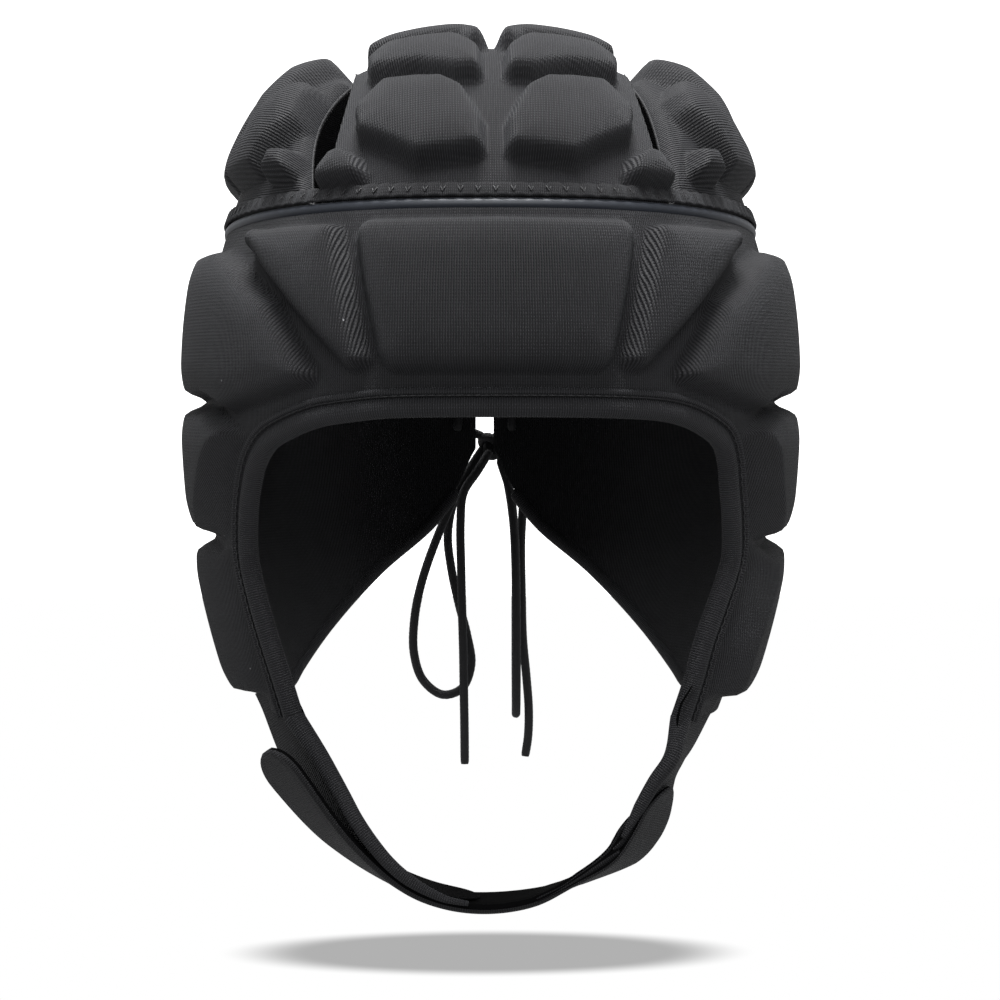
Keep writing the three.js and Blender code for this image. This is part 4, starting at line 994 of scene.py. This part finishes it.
tape_lift = PIPING_DIAMETER / 2 + GAP * 2 + TAPE_WIDTH * 0.4
tape_out = SHEET + GAP * 2 + TAPE_THICKNESS / 2
tape_path = seam_path(tape_lift, tape_out, TAPE_STEP)
tape_section = rounded_bar(TAPE_WIDTH, TAPE_THICKNESS, 3)
tape_along = lengths_along(tape_path)
stitch_count = round(tape_along[-1] / STITCH_GAP)
tape_phase = tape_along / tape_along[-1] * stitch_count
puff = PUFF * (0.6 - np.sin(math.pi * (tape_phase % 1)) ** 4)
tape_sections = np.repeat(tape_section[None], len(tape_path), axis=0)
tape_sections[..., 1] += np.where(tape_section[None, :, 1] > 0, puff[:, None], 0)
tape = swept_piece("seam_tape_woven", tape_path, outward(tape_path), tape_section, tape_sections,
                   joined=True)
tape_weave = knit_material("woven tape", turn_degrees=90, depth=0.0002, light=0.85, pitch=0.55)
dress(tape, "tape", tape_weave)
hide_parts("seam_tape")

thread, thread_tree, thread_shader = new_material("black thread", 0.5, 0.1, 0.5)
twist = node(thread_tree, "ShaderNodeTexWave", bands_direction="DIAGONAL")
twist.inputs["Scale"].default_value = 3.0
thread_uv = node(thread_tree, "ShaderNodeUVMap", uv_map="cloth").outputs[0]
thread_tree.links.new(thread_uv, twist.inputs["Vector"])
twisted = mixed_colour(thread_tree, twist.outputs["Fac"], (0.003, 0.003, 0.004), (0.012, 0.012, 0.014))
thread_tree.links.new(twisted, thread_shader.inputs["Base Color"])

stitch_turns = np.linspace(-180, 180, stitch_count * 16 + 1)[:-1]
phase = np.arange(len(stitch_turns)) / 16 % 1
shown = np.clip(1 - np.abs(phase - 0.5) / STITCH_SHARE, -0.5, 1)
stitch_lift = tape_lift + TAPE_WIDTH * 0.25 - STITCH_REACH * np.maximum(0, shown)
stitch_out = tape_out + TAPE_THICKNESS / 2 + np.where(shown > 0, 0.00008, -0.0006)
stitch_path = side_point(stitch_turns, seam_level(stitch_turns) + stitch_lift, stitch_out)
thread_section = round_section(THREAD, 6)
zigzag = swept_piece("seam_stitches", stitch_path, outward(stitch_path), thread_section, joined=True)
dress(zigzag, "tape", thread)

# Piping: a smooth covered cord sewn into the seam, just below the tape.
# Its cover is a fine woven strip, so that it shines a little along the top.
PIPING_SIDES = 20
PIPING_STEP = 0.0025
piping_path = seam_path(0, SHEET * 0.75, PIPING_STEP)
piping_section = round_section(PIPING_DIAMETER, PIPING_SIDES)
piping = swept_piece("seam_piping", piping_path, outward(piping_path), piping_section, joined=True)
cover, cover_tree, cover_shader = new_material("piping cover", 0.48, 0.1, 0.5)
cover_speckle, _ = fibres(cover_tree)
woven = mixed_colour(cover_tree, cover_speckle, (0.010, 0.013, 0.018), (0.032, 0.037, 0.050))
cover_tree.links.new(woven, cover_shader.inputs["Base Color"])
bumped(cover_tree, cover_shader, cover_speckle, 0.00004)
dress(piping, "piping", cover)
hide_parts("piping")

# Rim of the face opening: knit rolled over the cut edge and round a soft core, and stitched
# down behind the roll, which leaves a groove and a narrow ridge on the sheet.
FACE_STEP = 0.0012
FLANGE_WIDTH = 0.0022
FLANGE_THICKNESS = 0.0013
STITCH_PITCH = 0.0026


def rim_section():
    """Section of the rim: the roll, the groove, then the stitched-down ridge."""
    radius = ROLL_DIAMETER / 2
    lift = SHEET / 2 + GAP
    roll = [[radius * math.cos(a), radius * 0.96 * math.sin(a)]
            for a in np.radians(np.linspace(200, 22, 16))]
    ridge_low, ridge_high = radius + 0.0003, radius + FLANGE_WIDTH
    ridge_mid = (ridge_low + ridge_high) / 2
    ridge_half = (ridge_high - ridge_low) / 2
    ridge = [[ridge_mid + ridge_half * math.cos(a), lift + 0.0002 + FLANGE_THICKNESS * math.sin(a)]
             for a in np.radians(np.linspace(165, 0, 9))]
    under = [[ridge_high - 0.0001, lift - GAP * 0.6], [radius * 0.99, lift - GAP * 0.8],
             [radius * 0.97, -radius * 0.2], [radius * 0.72, -radius * 0.66],
             [radius * 0.25, -radius * 0.93], [-radius * 0.3, -radius * 0.92],
             [-radius * 0.72, -radius * 0.68]]
    return np.array(roll + ridge + under) * [-1, 1]


face_flat = face_edge(FACE_STEP)
face_path = front_point(face_flat[:, 0], face_flat[:, 1], SHEET / 2)
face_path = face_path[face_path[:, 2] > HEM]
rim = swept_piece("face_rim", face_path, outward(face_path), rim_section())
rim_knit = knit_material("ribbed knit, rim", turn_degrees=90, light=1.2)
dress(rim, "binding", rim_knit)
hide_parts("face_binding")

stitch_at = ROLL_DIAMETER / 2 + 0.0001
stitch_place = [[-stitch_at, SHEET / 2 + 0.0009]]
stitch_rings = swept_rings(face_path, outward(face_path), np.array(stitch_place))[:, 0]
groove = smooth_route(stitch_rings[::2], STITCH_PITCH / 8)
groove_phase = (np.arange(len(groove)) % 8) / 8
groove = groove + outward(groove) * (0.00035 * np.sin(math.pi * groove_phase) - 0.0001)[:, None]
groove_thread = swept_piece("rim_stitching", groove, outward(groove), thread_section)
dress(groove_thread, "binding", thread)

# Rolled lower edges: from behind each cheek strap along the hem and up the nape to the lace.
# The same knit rolled over the cut edge, a little thinner than round the face.
NECK_TURNS = [76, 83, 90, 97, 103]
NECK_FADE = (0.030, 0.056)    # the stretch over which the roll grows out of the hem
NECK_START = 0.3              # share of its thickness before that
neck_section = round_section(NECK_ROLL, 18)


def neck_path(sign):
    level = HEM - ROLLED_IN
    hem = side_point(sign * np.array(NECK_TURNS, dtype=float), level, SHEET / 2)
    table = np.asarray(NAPE_EDGE)[1:][::-1]
    edge = np.stack([table[:, 0] * HEAD_HALF_WIDTH, -NAPE_DROP + (HEM + NAPE_DROP) * table[:, 1]], axis=1)
    ahead = unit(np.gradient(edge, axis=0))
    arch = edge + np.stack([-ahead[:, 1], ahead[:, 0]], axis=1) * ROLLED_IN
    kept = arch[(arch[:, 1] > HEM - GAP) & (arch[:, 0] > NECK_ROLL / 2 + GAP * 2)]
    flat = np.vstack([[kept[0, 0] + GAP * 2, level], kept])
    back = front_point(sign * flat[:, 0], flat[:, 1], SHEET / 2, facing=1)
    return smooth_route(np.vstack([hem, back]), 0.0016)


for sign, side_name in SIDE_NAMES.items():
    path = neck_path(sign)
    along = lengths_along(path)
    ends = np.minimum(along, along[-1] - along)
    closing = np.sqrt(np.clip(1 - (1 - np.clip(ends / (NECK_ROLL / 2), 0, 1)) ** 2, 0.02, 1))
    grown = np.interp(along, NECK_FADE, [NECK_START, 1])
    path = path + ROLLED_IN * (1 - grown)[:, None] * [0.8 * sign, 0, 0.8]
    sections = neck_section[None] * (closing * grown)[:, None, None]
    roll = swept_piece(f"neck_roll_{side_name}", path, outward(path), neck_section, sections)
    dress(roll, "binding", rim_knit)
    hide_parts(f"neck_binding_{side_name}")

# Lacing: the lace crosses the slit at the nape three times, in at a hole on one side and out
# at a hole on the other, and goes on down to the bow. Each hole is worked in the sheet.
LACING_OUT = 0.0036           # middle of the lace above the sheet's inside, where it lies on it
LACING_IN = -0.0022           # and where it lies inside it
LACING_OVER = 0.0013          # how much higher the upper of two crossing laces lies
EYELET_RIM = 0.0006           # from a lace hole's edge to the middle of its worked rim


def back_point(x, level, out):
    x, level, out = (np.asarray(value, dtype=float) for value in (x, level, out))
    return front_point(x, level, out, facing=1)


def lacing_route(sign):
    """Route of one end of the lace: up through the low hole, across, and through the others."""
    top, middle, low = lace_levels()
    hole = LACE_HOLE_INSET
    skin = LACING_OUT + (LACING_OVER if sign > 0 else 0.0)
    rows = [
        (-sign * hole, top, LACING_IN), (-sign * hole, top, SHEET / 2),
        (-sign * hole * 0.8, top - 0.002, skin),
        (0, (top + middle) / 2, skin + 0.0008), (sign * hole * 0.8, middle + 0.002, skin),
        (sign * hole, middle, SHEET / 2), (sign * hole, middle, LACING_IN),
        (sign * hole, (middle + low) / 2, LACING_IN), (sign * hole, low, LACING_IN),
        (sign * hole, low, SHEET / 2), (sign * hole * 0.8, low - 0.001, skin),
    ]
    return np.array([back_point(*row) for row in rows])


for sign, side_name in SIDE_NAMES.items():
    knot_side = (knot_low + knot_high) / 2 + [sign * 0.0035, 0, 0.003]
    route = np.vstack([lacing_route(sign), knot_side])
    lacing = braided_cord(f"lace_{side_name}_braid", smooth_route(route, CORD_STEP))
    dress(lacing, "lace", lace)
    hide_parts(f"lace_{side_name}")

eyelet, _, eyelet_shader = new_material("worked eyelet", 0.6, 0.15)
eyelet_shader.inputs["Base Color"].default_value = (0.014, 0.014, 0.016, 1)
eyelet_section = round_section(2, 10) * [0.0009, 0.0005]
for sign, side_name in SIDE_NAMES.items():
    for number, level in enumerate(lace_levels()):
        hole = round_section(LACE_HOLE + 2 * EYELET_RIM, 32) + [sign * LACE_HOLE_INSET, level]
        ring = back_point(hole[:, 0], hole[:, 1], SHEET)
        worked = swept_piece(f"eyelet_{side_name}_{number}", ring, outward(ring), eyelet_section,
                             joined=True)
        dress(worked, "binding", eyelet)

# Cheek straps and chin strap: on the wearer's left the strap's end goes between two layers of
# the chin strap; on the right the other end is a free tab that closes with hook and loop.
STRAP_WIDTH = 0.026
STRAP_THICKNESS = 0.003
STRAP_END_THICKNESS = 0.002
STRAP_FORWARD = 0.576
CHIN_DROP = 0.246
PRONG_THICKNESS = 0.0014
STRAP_STEP = 0.0011
STRAP_TOP = 0.008             # how far above the hem a cheek strap starts, inside the sheet
STRAP_SEAM = 0.0024           # from a strap's edge to the seam along it
STRAP_SEAM_WIDTH = 0.0006
STRAP_SEAM_DEPTH = 0.16       # share of the strap's thickness
STRAP_COLUMNS = 22
# Middle lines: across as a share of the half width, forward as a share of the half length,
# drop as a share of the depth from the hem to the chin, and how far the back edge stands out
# for each unit back
CHIN_LINE = [
    [0.45, STRAP_FORWARD, 0.735, 0.50], [0.30, STRAP_FORWARD, 0.87, 0.40],
    [0.152, STRAP_FORWARD, 0.965, 0.20], [-0.035, STRAP_FORWARD, 1.0, -0.02],
    [-0.196, STRAP_FORWARD, 0.97, -0.12], [-0.343, STRAP_FORWARD, 0.882, -0.25],
    [-0.550, STRAP_FORWARD, 0.635, -0.45], [-0.715, STRAP_FORWARD, 0.33, -0.58],
    [-0.79, STRAP_FORWARD, 0.17, -0.60],
]
LEFT_STRAP = [
    [0.76, 0.56, -0.20, 0.48], [0.708, 0.56, -0.05, 0.48], [0.650, 0.57, 0.19, 0.24],
    [0.602, STRAP_FORWARD, 0.32, 0.30], [0.560, STRAP_FORWARD, 0.47, 0.42],
    [0.512, STRAP_FORWARD, 0.62, 0.48], [0.45, STRAP_FORWARD, 0.735, 0.50],
]
PRONGS = [[0.598, STRAP_FORWARD, 0.355, 0.32], *LEFT_STRAP[4:], *CHIN_LINE[1:3]]
RIGHT_STRAP = [
    [-0.80, 0.46, -0.20, -0.50], [-0.75, 0.46, -0.05, -0.52], [-0.672, 0.49, 0.225, -0.52],
    [-0.590, 0.53, 0.42, -0.50], [-0.508, 0.565, 0.59, -0.44], [-0.41, STRAP_FORWARD, 0.748, -0.34],
    [-0.31, STRAP_FORWARD, 0.855, -0.22], [-0.18, STRAP_FORWARD, 0.942, -0.10],
    [-0.05, STRAP_FORWARD, 0.978, -0.03],
]


def strap_route(table):
    """A strap's middle line, and the direction out of it at each point."""
    table = np.asarray(table, dtype=float)
    rows = np.stack([table[:, 0] * HEAD_HALF_WIDTH, -table[:, 1] * HEAD_HALF_LENGTH,
                     HEM - table[:, 2] * (CHIN_DROP + HEM)], axis=1)
    path = smooth_route(rows, STRAP_STEP)
    nearest = np.argmin(np.linalg.norm(path[:, None] - rows[None], axis=2), axis=0)
    lean = np.interp(np.arange(len(path)), nearest, table[:, 3])
    ahead = unit(np.gradient(path, axis=0))
    across = np.stack([lean, np.ones_like(lean), 0 * lean], axis=1)
    out = unit(np.cross(across, ahead))
    if np.sum(out[:, 2]) > 0:
        out = -out
    return path, out


def band(name, path, out, width, thickness, start_round=0.0, end_round=0.0, thin_end=0.0):
    """A flat band of knit lined with black loop cloth, painted near black as shade too, rounded or
    thinned out at its ends.
    """
    along = lengths_along(path)
    section = rounded_bar(width, thickness, 4)
    across = np.linspace(width / 2, -width / 2, STRAP_COLUMNS) * 0.96
    flat_top = np.stack([across, np.full(STRAP_COLUMNS, thickness / 2)], axis=1)
    section = np.vstack([section[:9], flat_top[1:-1], section[9:], (flat_top * [1, -1])[::-1][1:-1]])
    narrow = np.ones(len(path))
    for ends, length in ((along, start_round), (along[-1] - along, end_round)):
        if length:
            rounded = 1 - (1 - np.clip(ends / length, 0, 1)) ** 2
            narrow = np.minimum(narrow, np.sqrt(np.clip(rounded, 0.03, 1)))
    sections = np.repeat(section[None], len(path), axis=0)
    sections[..., 0] *= narrow[:, None]
    edge = np.clip((width / 2 * narrow[:, None] - np.abs(sections[..., 0])) / (0.08 * width), 0, 1)
    sections[..., 1] *= 0.72 + 0.28 * np.sqrt(edge)
    from_seam = np.abs(sections[..., 0]) - (width / 2 - STRAP_SEAM) * narrow[:, None]
    sections[..., 1] *= 1 - STRAP_SEAM_DEPTH * np.exp(-(from_seam / STRAP_SEAM_WIDTH) ** 2)
    if thin_end:
        sections[..., 1] *= np.interp(along[-1] - along, [0, thin_end], [0.12, 1])[:, None]
    piece = swept_piece(name, path, out, section, sections)
    # Faces that turn towards the head take the loop cloth, whose near black is partly painted shade.
    towards_head = (section[:, 1] + np.roll(section[:, 1], -1) < 0).astype(np.int32)
    slots = np.append(np.tile(towards_head, len(path) - 1), [0, 0])
    piece.data.polygons.foreach_set("material_index", slots.astype(np.int32))
    dress(piece, "strap", strap_knit_painted_shade, lining_with_painted_shade)
    return piece


def strap_roll(side_name, rim_end, path, out):
    """The rim's roll, which goes on down a cheek strap's front edge and dies out."""
    edges = [swept_rings(path, out, np.array([[side * STRAP_WIDTH / 2, 0.0]]))[:, 0] for side in (-1, 1)]
    front = min(edges, key=lambda edge: edge[:, 1].mean())
    route = smooth_route(np.vstack([rim_end, front[front[:, 2] < HEM - 0.010][::6]]), STRAP_STEP)
    taper = np.interp(np.linspace(0, 1, len(route)), [0, 0.2, 0.75, 1], [1, 0.85, 0.6, 0.25])
    section = round_section(ROLL_DIAMETER, 16)
    roll = swept_piece(f"strap_roll_{side_name}", route, unit(route * [1, 1, 0]), section,
                       section[None] * taper[:, None, None])
    dress(roll, "strap", rim_knit)


# Painted shade: the straps' knit is the crown's knit painted at 0.8 of its brightness, for the shade the
# straps hang in below the cap.
strap_knit_painted_shade = knit_material("ribbed knit, straps", turn_degrees=90, light=0.8)
# Loop cloth inside the straps: black cloth, painted near black so that it also stands for the deep shade
# there.
lining_with_painted_shade, _, lining_shader = new_material("black loop lining", 0.95, 0.0, 0.05)
lining_shader.inputs["Base Color"].default_value = (0.0012, 0.0012, 0.0014, 1)
left_path, left_out = strap_route(LEFT_STRAP)
below = left_path[:, 2] < HEM + STRAP_TOP
left_strap = band("cheek_strap_left_knit", left_path[below], left_out[below], STRAP_WIDTH,
                  STRAP_END_THICKNESS + 0.0004)
strap_roll("left", face_path[-1], left_path[below], left_out[below])
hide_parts("cheek_strap_left")

right_path, right_out = strap_route(RIGHT_STRAP)
below = right_path[:, 2] < HEM + STRAP_TOP
inward = np.clip((HEM - 0.022 - right_path[below, 2]) / 0.012, 0, 1)[:, None] * 0.0008
right_strap = band("cheek_strap_right_knit", right_path[below] - right_out[below] * inward,
                   right_out[below], STRAP_WIDTH, STRAP_THICKNESS - 0.0006, end_round=0.012,
                   thin_end=0.045)
strap_roll("right", face_path[0], right_path[below], right_out[below])
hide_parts("cheek_strap_right")

chin_path, chin_out = strap_route(CHIN_LINE)
chin_strap = band("chin_strap_knit", chin_path, chin_out, STRAP_WIDTH, STRAP_THICKNESS, end_round=0.010)
prong_path, prong_out = strap_route(PRONGS)
prong_along = lengths_along(prong_path)
apart = STRAP_END_THICKNESS / 2 + GAP + PRONG_THICKNESS / 2
apart = np.interp(prong_along / prong_along[-1], [0, 0.45, 0.85], [apart, apart, 0.0006])
for number, side in enumerate((-1, 1)):
    shifted = prong_path + prong_out * (side * apart)[:, None]
    start = 0 if side > 0 else 8
    band(f"chin_strap_layer_{number}", shifted[start:], prong_out[start:], STRAP_WIDTH, PRONG_THICKNESS,
         start_round=0.010)
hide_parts("chin_strap")

# Floor and light: white paper with a soft shadow painted on it under the cap, and a lit white wall
# behind. One big soft light above lights the tops of the pads, and their lower sides fall dark.
FLOOR_LEVEL = -0.278
FLOOR_HALF = 2.0
WALL_PLACE = 1.9
PAINTED_SHADOW_PLACE = 0.048          # middle of the shadow painted on the paper, behind the cap's middle
PAINTED_SHADOW_SIZE = (0.071, 0.038)  # its half width and half depth, halfway through its soft edge

paper, paper_tree, paper_shader = new_material("white paper", 1.0, 0.0, 0.0)
paper_shader.inputs["Base Color"].default_value = (0, 0, 0, 1)
paper_shader.inputs["Emission Color"].default_value = (1, 1, 1, 1)
# Painted shadow: the paper gives out white light of its own, dimmed to 0.44 in a soft ellipse under the
# cap; it reflects nothing, so the real light casts no shadow on it.
painted_shadow_mapping = node(paper_tree, "ShaderNodeMapping", vector_type="TEXTURE")
painted_shadow_mapping.inputs["Location"].default_value = (0, PAINTED_SHADOW_PLACE, FLOOR_LEVEL)
painted_shadow_mapping.inputs["Scale"].default_value = (*PAINTED_SHADOW_SIZE, 1)
paper_tree.links.new(node(paper_tree, "ShaderNodeTexCoord").outputs["Object"], painted_shadow_mapping.inputs["Vector"])
away = node(paper_tree, "ShaderNodeVectorMath", operation="LENGTH")
paper_tree.links.new(painted_shadow_mapping.outputs[0], away.inputs[0])
floor_light_and_painted_shadow = node(paper_tree, "ShaderNodeMapRange", interpolation_type="SMOOTHSTEP")
floor_light_and_painted_shadow.inputs["From Min"].default_value = 0.80
floor_light_and_painted_shadow.inputs["From Max"].default_value = 1.22
floor_light_and_painted_shadow.inputs["To Min"].default_value = 0.44
floor_light_and_painted_shadow.inputs["To Max"].default_value = 1.0
paper_tree.links.new(away.outputs["Value"], floor_light_and_painted_shadow.inputs["Value"])
paper_tree.links.new(floor_light_and_painted_shadow.outputs["Result"], paper_shader.inputs["Emission Strength"])
lit, _, lit_shader = new_material("lit white wall", 0.9, 0.0)
lit_shader.inputs["Emission Color"].default_value = (1, 1, 1, 1)
lit_shader.inputs["Emission Strength"].default_value = 1.0
for name, place, material in (("floor", None, paper), ("back_wall", WALL_PLACE, lit)):
    bpy.ops.object.select_all(action="DESELECT")
    bpy.ops.mesh.primitive_plane_add(size=2 * FLOOR_HALF, location=(0, 0, 0))
    sheet = bpy.context.object
    sheet.name = name
    for corner in sheet.data.vertices:
        if place is None:
            corner.co.z = FLOOR_LEVEL
        else:
            corner.co = (corner.co.x, place, corner.co.y + FLOOR_HALF + FLOOR_LEVEL)
    sheet.data.materials.append(material)
    sheet.visible_diffuse = False
    sheet.visible_glossy = False

world = bpy.data.worlds.new("studio")
world.use_nodes = True
world.node_tree.nodes["Background"].inputs["Color"].default_value = (1.0, 1.0, 1.0, 1)
world.node_tree.nodes["Background"].inputs["Strength"].default_value = 0.43
bpy.context.scene.world = world


def soft_light(name, place, target, size, power):
    light = bpy.data.lights.new(name, "AREA")
    light.shape = "RECTANGLE"
    light.size, light.size_y = size
    light.energy = power
    lamp = bpy.data.objects.new(name, light)
    lamp.location = place
    aim = Vector(target) - Vector(place)
    lamp.rotation_euler = aim.to_track_quat("-Z", "Y").to_euler()
    bpy.context.scene.collection.objects.link(lamp)


soft_light("key from above", (0.0, -0.12, 1.15), (0, 0, -0.2), (0.45, 1.1), 41)
soft_light("fill from the front", (0.0, -1.5, 0.45), (0, 0, -0.12), (0.7, 0.5), 9)

scene = bpy.context.scene
scene.view_settings.view_transform = "Standard"
scene.view_settings.look = "None"
